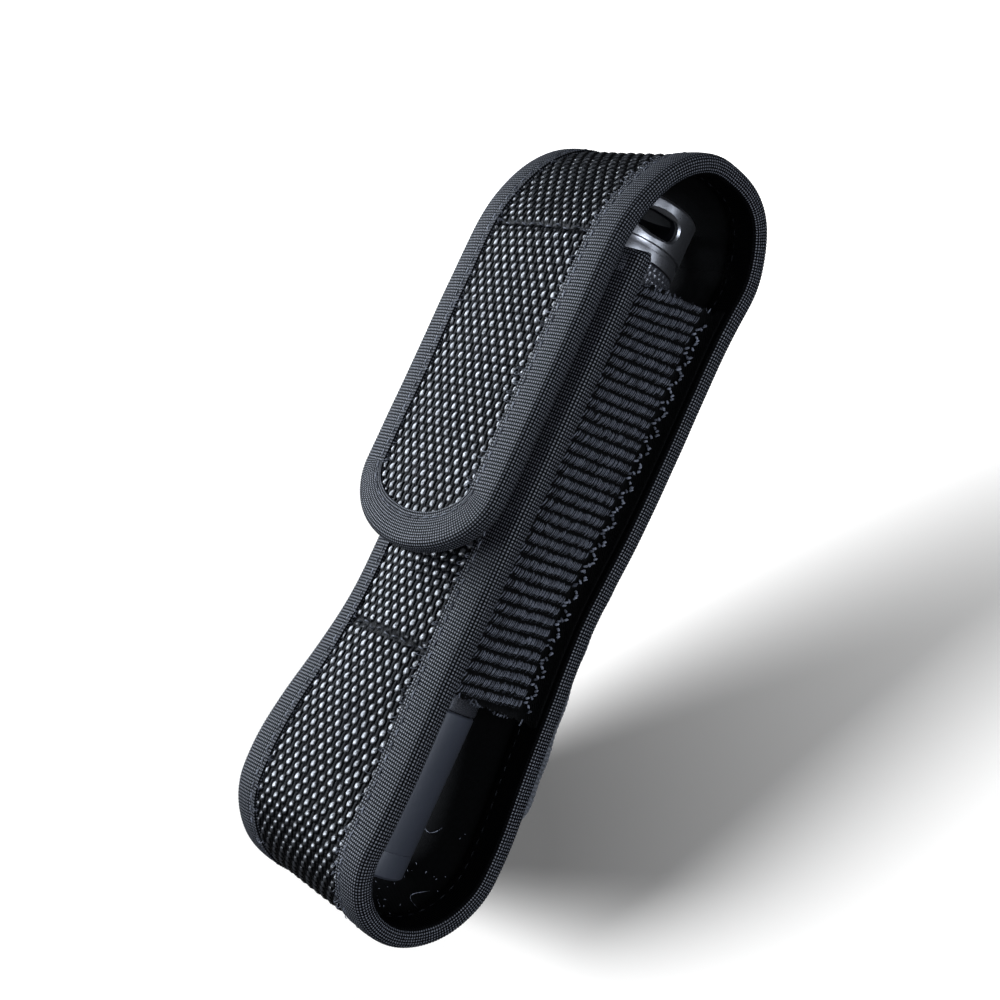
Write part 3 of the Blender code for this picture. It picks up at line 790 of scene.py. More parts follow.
def plain_cloth(name, base, scale, roughness, sheen, shine):
    """Cloth of even yarns, scale mm apart."""
    nodes = Nodes(name)
    vector, (across, along, _) = nodes.cloth()
    fuzz = nodes.noise(2.0 / scale, vector, 4.0)
    waves = nodes.times(nodes.wave(across, scale), nodes.wave(along, scale))
    relief = nodes.plus(nodes.times(waves, 0.5), fuzz)
    return nodes.set(
        Base_Color=nodes.mix(nodes.scaled(relief, -0.2, 1.2), grey(base * 0.35), grey(base * 1.5)),
        Roughness=roughness,
        Normal=nodes.bump(relief, 0.00015, 0.8),
        Sheen_Weight=sheen,
        Specular_IOR_Level=shine,
    )


def elastic_web():
    """Spun yarn wrapped over rubber cords, in ribs."""
    nodes = Nodes("elastic_web")
    vector, (across, along, height) = nodes.cloth()
    twist = nodes.wave(nodes.plus(across, nodes.times(along, 0.35)), 0.55)
    fuzz = nodes.noise(2.2, nodes.stretched(vector, (1.0, 1.6, 0.0)), 4.0, 0.65)
    relief = nodes.plus(nodes.times(twist, 0.3), nodes.times(fuzz, 1.4))
    # Partly painted shade: the colour is darkest between the ribs and along the flat back hem; the fuzz adds
    # random tone.
    crest = nodes.times(nodes.scaled(height, 0.30, 0.95), nodes.scaled(relief, 0.35, 1.1))
    return nodes.set(
        Base_Color=nodes.mix(crest, grey(0.0003, 0.3), grey(0.004, 0.3)),
        Roughness=0.7,
        Normal=nodes.bump(relief, 0.00025, 1.0),
        Specular_IOR_Level=0.05,
    )


def thread_yarn(name, base, roughness, spread, shine=0.5):
    """Spun thread whose brightness differs from one thread to the next and fades towards its ends, as painted
    shade where it meets the cloth.
    """
    nodes = Nodes(name)
    _, (own, around, along) = nodes.cloth()
    fuzz = nodes.noise(2600.0, nodes.position())
    twist = nodes.wave(nodes.plus(around, nodes.times(along, 1.3)), 0.5)
    # Painted shade: colour and reflection fall to a quarter towards the thread's ends.
    ends = nodes.scaled(nodes.math("ABSOLUTE", along), 0.5, 1.0, 1.0, 0.25)
    tone = nodes.times(ends, nodes.scaled(own, 0.0, 1.0, 1.0 - spread, 1.0 + spread * 0.6))
    tone = nodes.times(tone, nodes.scaled(fuzz, 0.35, 0.65, 0.45, 1.1))
    return nodes.set(
        Base_Color=nodes.mix(tone, grey(base * 0.02), grey(base)),
        Roughness=roughness,
        Normal=nodes.bump(nodes.plus(nodes.times(twist, 0.4), fuzz), 0.00008, 0.8),
        Specular_IOR_Level=nodes.times(tone, shine),
    )


def metal(name, base, roughness, metallic=1.0, grain=0.06, skin=None):
    """Satin metal; with a skin radius, the faces inside it round the light's axis are black and lose their
    reflection: painted shade.
    """
    nodes = Nodes(name)
    position = nodes.position()
    cloud = nodes.scaled(nodes.noise(60.0, position, 2.0), 0.35, 0.65, 0.0, 0.3)
    speck = nodes.noise(3600.0, position, 2.0)
    colour = nodes.mix(cloud, paint(base), paint(base, 0.6))
    # Painted shade: faces inside the skin radius are given a black colour and lose their reflection.
    if skin:
        offset = nodes.add("VectorMath", {0: position, 1: (0, LIGHT_Y, 0)}, operation="SUBTRACT")
        flat = nodes.add("VectorMath", {0: offset.outputs[0], 1: (1, 1, 0)}, operation="MULTIPLY")
        radius = nodes.add("VectorMath", {0: flat.outputs[0]}, operation="LENGTH").outputs["Value"]
        outer = nodes.scaled(radius, skin, skin + 0.0004)
        colour = nodes.mix(outer, (0.004, 0.004, 0.005, 1), colour)
        metallic = nodes.times(outer, metallic)
        nodes.set(Specular_IOR_Level=nodes.times(outer, 0.5))
    return nodes.set(
        Base_Color=colour,
        Metallic=metallic,
        Roughness=nodes.spread(speck, roughness - grain, roughness + grain),
        Normal=nodes.bump(speck, 0.000004, 0.2),
    )


def smooth_plastic(name, colour, roughness, scale=1200.0):
    nodes = Nodes(name)
    position = nodes.position()
    speck = nodes.noise(scale, position)
    cloud = nodes.spread(nodes.noise(90.0, position, 2.0), 0.0, 0.4)
    return nodes.set(
        Base_Color=nodes.mix(cloud, paint(colour), paint(colour, 0.7)),
        Roughness=nodes.spread(speck, roughness - 0.06, roughness + 0.06),
        Normal=nodes.bump(speck, 0.00002, 0.4),
    )


def lens_glass():
    nodes = Nodes("lens_glass")
    smear = nodes.spread(nodes.noise(200.0, nodes.position()), 0.02, 0.05)
    return nodes.set(
        Base_Color=(0.92, 0.95, 0.97, 1.0), Roughness=smear, IOR=1.5, Transmission_Weight=1.0,
    )


SURFACES = {
    "cover": woven_cover(),
    "tape": binding_tape(),
    "lining": plain_cloth("lining_nylon", 0.0007, 0.5, 0.9, 0.0, 0.10),
    "elastic": elastic_web(),
    "webbing": plain_cloth("belt_webbing", 0.030, 1.1, 0.7, 0.15, 0.5),
    "board": smooth_plastic("stiffener_sheet", (0.03, 0.03, 0.03), 0.7),
    "pile": thread_yarn("loop_pile", 0.022, 0.85, 0.4, 0.2),
    "hooks": thread_yarn("hook_tape", 0.020, 0.45, 0.2),
    "lint": thread_yarn("lint", 0.30, 0.6, 0.8),
    "stitch": thread_yarn("stitch_thread", 0.085, 0.40, 0.7),
    # Painted shade: the inner stitches are the same thread as the outer ones, painted far darker and less shiny
    # because they lie inside the pouch.
    "inner_stitch": thread_yarn("shaded_inner_stitch_thread", 0.004, 0.70, 0.5, 0.1),
    "yarn": thread_yarn("elastic_yarn", 0.075, 0.60, 0.45, 0.35),
    "knot": thread_yarn("knot_yarn", 0.120, 0.55, 0.7, 0.4),
    "black_metal": metal("anodised_black", (0.024, 0.026, 0.033), 0.42, 0.0),
    # Painted highlight: the tube is the head's black anodised metal, given a brighter, more metallic copy so the
    # knurl's pyramids catch brighter highlights.
    "brightened_tube_metal": metal("anodised_black_brightened", (0.045, 0.046, 0.052), 0.26, 0.6),
    # Painted shade: the crown's bore and the inner walls of its windows are painted black.
    "gun_metal": metal("anodised_gun_metal", (0.20, 0.20, 0.21), 0.33, 0.95, skin=LIGHT_RADIUS - 0.0014),
    "mirror": metal("reflector_coat", (0.85, 0.85, 0.86), 0.08, grain=0.02),
    "glass": lens_glass(),
    "rubber": smooth_plastic("black_rubber", (0.012, 0.012, 0.012), 0.7, 2500.0),
    "plastic": smooth_plastic("black_plastic", (0.02, 0.02, 0.02), 0.5),
    "circuit": smooth_plastic("circuit_board", (0.02, 0.10, 0.04), 0.45, 400.0),
    "phosphor": smooth_plastic("led_phosphor", (0.85, 0.70, 0.15), 0.4, 3000.0),
    "brass": metal("turned_brass", (0.60, 0.42, 0.15), 0.32),
    "spring_steel": metal("spring_steel", (0.55, 0.55, 0.56), 0.30),
    "cell_wrap": smooth_plastic("cell_wrap", (0.06, 0.07, 0.09), 0.4, 500.0),
}


# Pouch

def build_cover():
    """The woven cover, in lengths that keep each mesh small, with a strip across the hinge."""
    seam = PANEL.at_height(CROSS_STITCH_LOW) + 0.003
    body = [0.0008, PANEL.at_height(0.105), seam, *(PANEL.waist_end + step for step in COVER_STEPS)]
    body.append(PANEL.body_end)
    for i, (start, end) in enumerate(zip(body, body[1:])):
        piece = cover_piece(f"cover_body_{i + 1}", start, end)
        place_piece(piece, "pouch", "cover", *(["outer_cover"] if i == 0 else []))
    bend_piece(cover_piece("cover_hinge", PANEL.body_end, PANEL.flap_start), "cover")
    flap = spaced(PANEL.flap_start, PANEL.length - 0.004, 0.055)
    for i, (start, end) in enumerate(zip(flap, flap[1:])):
        piece = cover_piece(f"cover_flap_{i + 1}", start, end)
        place_piece(piece, "flap", "cover", *(["flap_cover"] if i == 0 else []))


def bend_piece(piece, slot, look=None):
    """Gives a piece across the hinge its material and bakes its place into its mesh; it is attached to no body."""
    piece.data.materials.append(SURFACES[look or slot])
    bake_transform(piece)


def build_bindings():
    for side, word in ((-1, "left"), (1, "right")):
        edge = side_edge(0.0, PANEL.body_end, side)
        piece = binding_piece(f"binding_{word}", *edge, flip=side > 0, shut=(0,))
        place_piece(piece, "pouch", "tape", f"edge_binding_{word}")
        edge = side_edge(PANEL.body_end, PANEL.flap_start, side)
        piece = binding_piece(f"binding_hinge_{word}", *edge, flip=side > 0)
        bend_piece(piece, "tape")
    place_piece(binding_piece("binding_flap", *flap_edge()), "flap", "tape", "flap_binding")
    across = spaced(-WAIST_HALF_WIDTH + 0.001, WAIST_HALF_WIDTH - 0.001, 0.0005)
    edge = joined(MOUTH_EDGE, across)
    inward = joined(np.ones_like(across), 0.0)
    piece = binding_piece("binding_mouth", edge, inward, flip=True, shut=(0, 1))
    place_piece(piece, "pouch", "tape", "mouth_binding")


def build_stitches():
    """Sewing along the bindings, outside and inside, with the cover's rows of cross stitches."""
    inset = BINDING_WIDTH - 0.0013
    flap, flap_in = flap_edge()
    across = spaced(-0.014, 0.014, 0.001)
    # The inside row takes the darker inner stitch thread, as painted shade.
    for word, depth, look in (("outer", 0.00002, "stitch"), ("inner", EDGE_THICKNESS, "inner_stitch")):
        def along_sides(start, end):
            paths = []
            for side in (-1, 1):
                edge, inward = side_edge(start, end, side)
                line = edge + inward * inset
                paths += panel_stitches(line[:, 0], line[:, 1], depth, STITCH_PITCH)
            return paths

        paths = along_sides(0.002, PANEL.body_end)
        paths += panel_stitches(MOUTH_EDGE + inset, across, depth, STITCH_PITCH)
        place_piece(tubes(f"seams_{word}_body", paths, THREAD), "pouch", "tape", look=look)
        paths = along_sides(PANEL.body_end, PANEL.flap_start)
        bend_piece(tubes(f"seams_{word}_hinge", paths, THREAD), "tape", look)
        line = flap + flap_in * inset
        paths = panel_stitches(line[:, 0], line[:, 1], depth, STITCH_PITCH)
        place_piece(tubes(f"seams_{word}_flap", paths, THREAD), "flap", "tape", look=look)

    for (at, left, right), body in zip(cross_rows(), ("pouch", "flap")):
        across = spaced(left, right, 0.0005)
        slant = at + 0.0004 * np.sin(across / 0.0011)
        depth = COVER_CREST + WEAVE_DEPTH * 0.55
        paths = panel_stitches(slant, across, depth, 0.0031, share=0.6, lift=0.0003, sink=0.0003)
        place_piece(tubes(f"cross_stitches_{body}", paths, THREAD), body, "tape", look="stitch")


def frayed_thread(draw, along, across):
    """One short loop of loose thread that lies on the cover."""
    turn = np.linspace(0, draw.uniform(1.5, 4.5), 9)
    size = draw.uniform(0.0003, 0.0008)
    drift = draw.uniform(-0.0008, 0.0008, 2)
    share = np.linspace(0, 1, len(turn))
    s = along + size * np.sin(turn) + drift[0] * share
    x = across + size * np.cos(turn) + drift[1] * share
    depth = COVER_CREST - 0.0001 + 0.0004 * np.cos(np.linspace(0, tau, len(turn)))
    return PANEL.place(s, x, depth)


def build_fray():
    """Loose thread ends where the cut edge of the weave shows beside the binding."""
    draw = np.random.default_rng(17)
    for body, start, end, count in (
        ("pouch", 0.010, PANEL.waist_end + 0.030, 150),
        ("flap", PANEL.arch_end - 0.030, PANEL.tip_start, 130),
    ):
        paths = []
        for along in draw.uniform(start, end, count):
            side = 1 if draw.random() < 0.75 else -1
            inner = PANEL.half_width(along) - BINDING_WIDTH
            paths.append(frayed_thread(draw, along, side * (inner - abs(draw.normal(0.0007, 0.0006)))))
        place_piece(tubes(f"fray_{body}", paths, THREAD * 0.55), body, "cover", look="stitch")


def build_lint():
    """Specks and loose thread ends on the lining, most of them at the bottom."""
    draw = np.random.default_rng(53)
    bottom = PANEL.waist_end + 0.036
    paths = []
    for k in range(150):
        along = bottom + draw.normal(0, 0.014)
        across = draw.uniform(-1, 1) * 0.021
        turn, length = draw.uniform(0, tau), draw.uniform(0.0002, 0.0007)
        if k % 15 == 0:
            length = draw.uniform(0.003, 0.008)
        t = np.linspace(-0.5, 0.5, 9)
        bend = draw.normal(0, 0.25) * length * np.cos(pi * t)
        s = along + length * t * cos(turn) - bend * sin(turn)
        x = across + length * t * sin(turn) + bend * cos(turn)
        depth = LINING[1] + 0.00015 + 0.00025 * np.cos(pi * t)
        paths.append(PANEL.place(s, x, depth))
    place_piece(tubes("lint", paths, 0.00007, 5), "pouch", "lining", look="lint")


def build_lining():
    """The lining, and the boards behind it, which stop short of the hinge."""
    def layer(name, start, end, depths, inset):
        along = spaced(start, end, 0.0012)
        reach = np.where(along > PANEL.tip_start, tip_reach(along), PANEL.half_width(along))
        return slab(name, along, np.maximum(reach - inset, 0.0005), depths)

    low, high, inset = PANEL.body_end, PANEL.flap_start, 0.0015
    tip = PANEL.length
    place_piece(layer("lining_body", inset, low, LINING, inset), "pouch", "lining", "lining")
    bend_piece(layer("lining_hinge", low, high, LINING, inset), "lining")
    place_piece(layer("lining_flap", high, tip - inset, LINING, inset), "flap", "lining", "flap_lining")
    clear, inset = 0.002, 0.004
    piece = layer("board_body", inset, low - clear, BOARD, inset)
    place_piece(piece, "pouch", "board", "stiffener_board")
    piece = layer("board_flap", high + clear, tip - inset, BOARD, inset)
    place_piece(piece, "flap", "board", "flap_stiffener")


def elastic_plan():
    """The web's line from the front panel to the back, its lengths and its outward normals."""
    plan = rounded_path(np.array(ELASTIC_PLAN) * MM, 0.0004)
    run = path_lengths(plan)
    step = np.gradient(plan, run, axis=0)
    normal = joined(step[:, 1], -step[:, 0])
    return plan, run, -normal / np.linalg.norm(normal, axis=1)[:, None]


WEB_PLAN, WEB_RUN, WEB_NORMAL = elastic_plan()


def on_elastic(side, along, height, out):
    """Points on the web at lengths along its plan, heights and distances outside it."""
    place, away = resample(WEB_PLAN, WEB_RUN, along), resample(WEB_NORMAL, WEB_RUN, along)
    x = place[:, 0] + away[:, 0] * out
    y = BACK - place[:, 1] - away[:, 1] * out
    z = BOTTOM + drawn_in(height, along)
    return joined(side * x, y + Panel.sway_at(y, z), z)


def web_length(*depths):
    """The lengths along the web's plan where it passes depths inside the pouch."""
    return np.interp(-np.array(depths), -WEB_PLAN[:, 1], WEB_RUN)


def build_elastic():
    """Ribbed side webs, drawn between the insides of the front and back panels."""
    heights = spaced(ELASTIC_LOW, ELASTIC_HIGH, ELASTIC_PITCH / 8)
    h, along = np.meshgrid(heights, WEB_RUN, indexing="ij")
    # The back hem is flat, with no ribs; with no rib height its colour is also the darkest there, as painted shade
    # where the web tucks under the binding.
    hem = smooth_step(WEB_PLAN[:, 1], 0.0072, 0.0082)
    rib = np.sin(pi * (rib_phase(h, along) % 1)) ** 0.6 * hem
    relief = 0.00045 * rib - 0.00040
    ragged = smooth_step(h, ELASTIC_HIGH - 0.0015, ELASTIC_HIGH) * wander(along, 0.0007, 0.0009, 21)
    ragged -= smooth_step(-h, -ELASTIC_LOW - 0.0012, -ELASTIC_LOW) * wander(along, 0.0005, 0.0005, 22)
    cloth = joined(along / MM, h / MM, rib)
    for side, word in ((-1, "left"), (1, "right")):
        faces = []
        for out in (1, -1):
            offset = out * (ELASTIC_THICKNESS / 2 + relief)
            x = WEB_PLAN[:, 0] + WEB_NORMAL[:, 0] * offset
            y = BACK - WEB_PLAN[:, 1] - WEB_NORMAL[:, 1] * offset
            z = BOTTOM + drawn_in(h, along) + ragged
            faces.append(joined(side * x, y + Panel.sway_at(y, z), z))
        piece = double_sheet(f"elastic_web_{word}", *faces, cloth, flip=side < 0)
        place_piece(piece, "pouch", "elastic", f"elastic_{word}")
        for name, paths, radius, look, around in (
            ("yarns", elastic_strokes(side), ELASTIC_STROKE, "yarn", 5),
            ("knots", elastic_zigzag(side), 0.00030, "knot", 6),
            ("fringe", elastic_fringe(side), 0.00018, "yarn", 6),
        ):
            piece = tubes(f"elastic_{name}_{word}", paths, radius, around)
            place_piece(piece, "pouch", "elastic", look=look)


def drawn_in(height, along):
    """The web is sewn in with its top front corner pulled down."""
    share = np.clip((height - ELASTIC_LOW) / (ELASTIC_HIGH - ELASTIC_LOW), 0, 1)
    return height - ELASTIC_DROP * share ** 4 * (1 - np.asarray(along) / WEB_RUN[-1]).clip(0, 1)


def rib_stray(place):
    """How far the web's ribs stray from their even places."""
    return wander(place, 0.0065, 0.00016, 9)


def rib_phase(height, along):
    """Counts the web's ribs up its height."""
    return (height - ELASTIC_LOW - ELASTIC_RISE * along + rib_stray(height + along)) / ELASTIC_PITCH


def elastic_strokes(side):
    """The yarn wrapped over each rib: short leaning strokes, side by side."""
    draw = np.random.default_rng(41)
    first, last = 0.0008, web_length(0.0080)[0]
    t = np.linspace(0, 1, 7)
    paths = []
    for rib in range(int((ELASTIC_HIGH - ELASTIC_LOW) / ELASTIC_PITCH) + 1):
        for k in range(int((last - first) / ELASTIC_YARN)):
            shift = draw.normal(0, 1, 3) * (0.00007, 0.00010, 0.00003)
            at = first + (k + 0.5 * (rib % 2)) * ELASTIC_YARN + shift[0]
            stray = rib_stray(np.array([ELASTIC_LOW + at]))[0]
            low = ELASTIC_LOW + rib * ELASTIC_PITCH + ELASTIC_RISE * at - stray
            height = low + shift[1] + ELASTIC_PITCH * (0.06 + 0.88 * t)
            if height[0] > ELASTIC_HIGH - 0.0012:
                continue
            height = np.minimum(height, ELASTIC_HIGH + shift[1])
            along = at + 0.22 * ELASTIC_PITCH * (t - 0.5)
            out = ELASTIC_THICKNESS / 2 - 0.00045 + 0.00052 * np.sin(pi * t) ** 0.6 + shift[2]
            paths.append(on_elastic(side, along, height, out))
    return paths


def elastic_zigzag(side):
    """The zigzag seam down the web's back hem, as short thick dabs of yarn at each turn."""
    draw = np.random.default_rng(31)
    t = np.linspace(0, 1, 7)
    paths = []
    for k, height in enumerate(np.arange(ELASTIC_LOW + 0.003, ELASTIC_HIGH - 0.004, ZIGZAG_PITCH)):
        for at, rise, lean in zip(web_length(0.0074, 0.0065, 0.0057), (0.0, 0.5, 1.0), (0.9, -0.7, 0.9)):
            shift = draw.normal(0, 0.00022, 3)
            length = draw.uniform(0.0009, 0.0014)
            along = at + shift[0] + lean * length * (t - 0.5)
            turn = ZIGZAG_PITCH * (rise if k % 2 else 1 - rise) * 0.6
            up = height + shift[1] + turn + length * 0.5 * (t - 0.5)
            out = ELASTIC_THICKNESS / 2 - 0.00010 + shift[2] * 0.4 + 0.00042 * np.sin(pi * t)
            paths.append(on_elastic(side, along, up, out))
    return paths


def elastic_fringe(side):
    """Cut yarn ends along the web's lower and upper edges."""
    draw = np.random.default_rng(37)
    t = np.linspace(0, 1, 6)
    paths = []
    for edge, down, count in ((ELASTIC_LOW, -1, 46), (ELASTIC_HIGH, 1, 34)):
        for at in draw.uniform(0.002, WEB_RUN[-1] - 0.004, count):
            length = draw.uniform(0.0005, 0.0018)
            along = at + draw.normal(0, 0.0005) * t
            rise = edge + down * (length * t - 0.0008)
            out = draw.uniform(-0.0003, 0.0004) + draw.normal(0, 0.0004) * t
            paths.append(on_elastic(side, along, rise, out))
    return paths


def build_patches():
    """The closure: a pad of loops on the front and a strip of hooks inside the flap."""
    draw = np.random.default_rng(23)
    low, high = (corner.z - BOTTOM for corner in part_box("loop_patch"))
    along = spaced(PANEL.at_height(high), PANEL.at_height(low), MM)
    piece = slab("loop_backing", along, PATCH_HALF_WIDTH, (-0.0008, COVER_CREST + 0.0006))
    place_piece(piece, "pouch", "pile", "loop_patch")
    arch = np.linspace(0, pi, 7)
    paths = []
    for _ in range(3600):
        s = draw.uniform(along[0] + 0.0004, along[-1] - 0.0004)
        x = draw.uniform(-1, 1) * (PATCH_HALF_WIDTH - 0.0004)
        turn, size = draw.uniform(0, tau), draw.uniform(0.0003, 0.0006)
        reach_out = size * np.cos(arch)
        depth = -0.0007 - draw.uniform(0.0003, 0.0007) * np.sin(arch)
        paths.append(PANEL.place(s + reach_out * sin(turn), x + reach_out * cos(turn), depth))
    place_piece(tubes("loop_pile", paths, 0.00006, 4), "pouch", "pile")

    low, high = (corner.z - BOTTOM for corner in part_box("hook_patch"))
    start, end = PANEL.at_height(high, last=True), PANEL.at_height(low, last=True)
    along = spaced(start, end, MM)
    face = LINING[1]
    piece = slab("hook_backing", along, PATCH_HALF_WIDTH, (face - 0.0002, face + 0.0006))
    place_piece(piece, "flap", "hooks", "hook_patch")
    turn = np.linspace(-pi / 2, pi * 0.95, 8)
    rise = np.concatenate([[0, 0.4], 0.70 + 0.30 * np.sin(turn)])
    lean = np.concatenate([[0, 0], 0.30 * np.cos(turn)]) * 0.0008
    paths = []
    for row, s in enumerate(spaced(start + 0.0008, end - 0.0008, 0.0013)):
        for x in spaced(-PATCH_HALF_WIDTH + 0.0008, PATCH_HALF_WIDTH - 0.0008, 0.0011):
            side = 1 if row % 2 else -1
            depth = face + 0.0005 + 0.0009 * rise
            paths.append(PANEL.place(s + side * lean, x, depth))
    place_piece(tubes("hook_field", paths, 0.00010, 5), "flap", "hooks")


def webbing_height(across, along):
    """Thick webbing: ribs that slant one way and the other in bands, from 0 to 1."""
    band = across / 0.0036
    inside = band % 1
    side = np.where(np.floor(band) % 2 == 0, 1, -1)
    rib = np.abs(np.sin(pi * (along / 0.00135 + side * (inside - 0.5) * 1.6)))
    return rib ** 0.7 * (0.35 + 0.65 * np.sin(pi * inside) ** 0.4)


def build_belt_loop():
    """Webbing sewn to the back at both ends, standing off it between them for the belt."""
    thick, bulge, flat, tab = 0.0018, 0.0076, 0.0056, 0.0013
    path = rounded_path(np.array([
        (tab, 0.0200), (tab, 0.0270), (0.0046, 0.0315), (bulge, 0.0375), (0.0071, 0.0450),
        (flat + 0.0009, 0.0560), (flat, 0.0680), (flat, 0.1060), (0.0034, 0.1130), (tab, 0.1190),
        (tab, 0.1300),
    ]), 0.00028, passes=3)
    lengths = path_lengths(path)
    step = np.gradient(path, lengths, axis=0)
    step /= np.linalg.norm(step, axis=1)[:, None]
    normal = joined(step[:, 1], -step[:, 0])
    half = LOOP_HALF_WIDTH
    across = np.linspace(-half, half, 121)
    x, s = np.meshgrid(across, lengths)
    height = webbing_height(x, s)
    edge = np.sqrt(np.clip(1 - ((np.abs(x) - (half - 0.0008)).clip(0) / 0.0008) ** 2, 0, 1))
    waved = x + 0.00025 * np.sin(s / 0.0021) * (np.abs(x) > half - 0.001)
    sides = []
    for out in (1, -1):
        offset = out * (thick / 2 * edge + 0.00030 * (height - 1) * edge)
        y = path[:, :1] + normal[:, :1] * offset
        z = BOTTOM + path[:, 1:] + normal[:, 1:] * offset
        y = BACK + y + Panel.sway_at(BACK, z)
        sides.append(joined(waved, y, z))
    piece = double_sheet("belt_webbing", *sides, joined(x / MM, s / MM, height * edge), flip=True)
    place_piece(piece, "pouch", "webbing", "belt_loop")

    paths = []
    for low, high in ((0.0205, 0.0265), (0.1195, 0.1295)):
        inset = half - 0.0025
        a, b, c, d = (-inset, low), (inset, low), (inset, high), (-inset, high)
        for start, end in ((a, b), (b, c), (c, d), (d, a), (a, c), (c, b), (b, d)):
            share = np.linspace(0, 1, 40)[:, None]
            line = np.array(start) * (1 - share) + np.array(end) * share
            z = BOTTOM + line[:, 1]
            y = BACK + tab + thick / 2 + Panel.sway_at(BACK, z)
            line = joined(line[:, 0], y, z)
            paths += stitch_run(line, np.tile((0.0, 1.0, 0.0), (len(line), 1)), 0.0026)
    place_piece(tubes("loop_stitches", paths, THREAD), "pouch", "webbing", look="stitch")


# Flashlight

def light_part(name, body, slot, node, profile, ease, steps=ROUND_STEPS):
    place_piece(turned(name, profile, ease, steps), body, slot, node)


def build_head():
    radius = LIGHT_RADIUS
    light_part("bezel", "head", "black_metal", "bezel_ring", [
        (0.0117, 0.0100), (0.0117, 0.0061), (radius, 0.0061), (radius, 0.0006), (radius - 0.0006, 0),
        (0.0103, 0), (0.0098, 0.0026), (0.0109, 0.0026), (0.0109, 0.0100),
    ], 0.00006)
    light_part("head_shell", "head", "black_metal", "head_housing", [
        (0.0124, HEAD_JOINT), (radius, HEAD_JOINT - 0.0004), (radius, 0.00615), (0.0120, 0.00615),
        (0.0120, 0.0106), (0.0110, 0.0106), (0.0110, 0.0310), (0.0113, 0.0310), (0.0113, HEAD_JOINT),
    ], 0.00006)
    light_part("lens", "head", "glass", "front_lens", [
        (0, 0.0049), (0.0106, 0.0049), (0.0106, 0.0029), (0, 0.0029),
    ], 0.0002)
    light_part("gasket", "head", "rubber", "lens_gasket", [
        (0.0106, 0.0062), (0.0106, 0.0052), (0.0094, 0.0052), (0.0094, 0.0062),
    ], 0.0004)
    neck, rim, mouth, floor = 0.0032, 0.0099, 0.0065, 0.0225
    radii = np.linspace(rim, neck, 24)
    heights = floor - (floor - mouth) * (radii ** 2 - neck ** 2) / (rim ** 2 - neck ** 2)
    heights = heights + 0.00006 * np.sin(tau * radii / 0.0007)
    light_part("reflector_bowl", "head", "mirror", "reflector", [
        (neck, 0.0241), (0.0046, 0.0241), (0.0052, 0.0225), (0.0106, 0.0085), (0.0106, mouth),
        *zip(radii, heights),
    ], 0.00005)
    light_part("led_dome", "head", "phosphor", "led_emitter", [
        (0, 0.0244), (0.0017, 0.0244), (0.0017, 0.0238), (0.0012, 0.0229), (0, 0.0225),
    ], 0.0003, 64)


def knurled_wall(radius):
    """Points of the knurled band: two crossing sets of grooves round the tube."""
    height = spaced(KNURL_LOW, KNURL_HIGH, KNURL_PITCH / 5)
    angle = np.linspace(0, tau, KNURL_ROUND * 6, endpoint=False)
    height, angle = np.meshgrid(height, angle, indexing="ij")
    turns = angle * KNURL_ROUND / tau
    rise = height / KNURL_PITCH
    ridges = [1 - 2 * np.abs((turns + side * rise) % 1 - 0.5) for side in (1, -1)]
    pyramid = np.clip(np.minimum(*ridges) * 1.7, 0, 1)
    return radius - KNURL_DEPTH * (1 - pyramid), height


def build_tube():
    """The tube as one closed skin: threaded spigots, knurled band and bore."""
    spigot, groove, bore, radius = 0.0110, 0.0102, 0.0088, LIGHT_RADIUS
    top, low = 0.1530, 0.0313
    wall, wall_height = knurled_wall(radius)
    columns = wall.shape[1]

    def rings(points):
        points = np.array(points)
        return np.repeat(points[:, :1], columns, 1), np.repeat(points[:, 1:], columns, 1)

    below = rings([
        (bore + 0.0002, low), (spigot - 0.0002, low), (spigot, low + 0.0002),
        *thread(spigot, 0.0318, 0.0360), (spigot, 0.0362), (groove, 0.0362), (groove, 0.0379),
        (spigot, 0.0379), (spigot, HEAD_JOINT + 0.0003), (radius - 0.0002, HEAD_JOINT + 0.0003),
        (radius, HEAD_JOINT + 0.0005), (radius, KNURL_LOW - 0.0003),
    ])
    above = rings([
        (radius, KNURL_HIGH + 0.0003), (radius, TUBE_TOP - 0.0002), (radius - 0.0002, TUBE_TOP),
        (spigot, TUBE_TOP), (spigot, 0.1503), (groove, 0.1503), (groove, 0.1520), (spigot, 0.1520),
        (spigot, top - 0.0002), (spigot - 0.0002, top), (bore + 0.0002, top), (bore, top - 0.0002),
        (bore, low + 0.0002),
    ])
    r = np.vstack([below[0], wall, above[0]])
    z = np.vstack([below[1], wall_height, above[1]])
    angle = np.linspace(0, tau, columns, endpoint=False)[None]
    points = joined(r * np.cos(angle), LIGHT_Y + r * np.sin(angle), LIGHT_Z + z)
    piece = grid_object("knurled_tube", points, closed=True, looped=True, flip=True)
    piece.data.set_sharp_from_angle(angle=radians(35))
    # The tube wears the brightened copy of the black metal, a painted highlight for the knurl.
    place_piece(piece, "light", "black_metal", "body_tube", look="brightened_tube_metal")


def thread(radius, low, high, pitch=0.0007, depth=0.0003):
    """Points of a spigot's thread, cut inwards, as (radius, height) from low to high."""
    points = []
    for height in spaced(low, high - pitch, pitch):
        points += [(radius, height), (radius - depth, height + pitch / 2)]
    return [*points, (radius, high)]


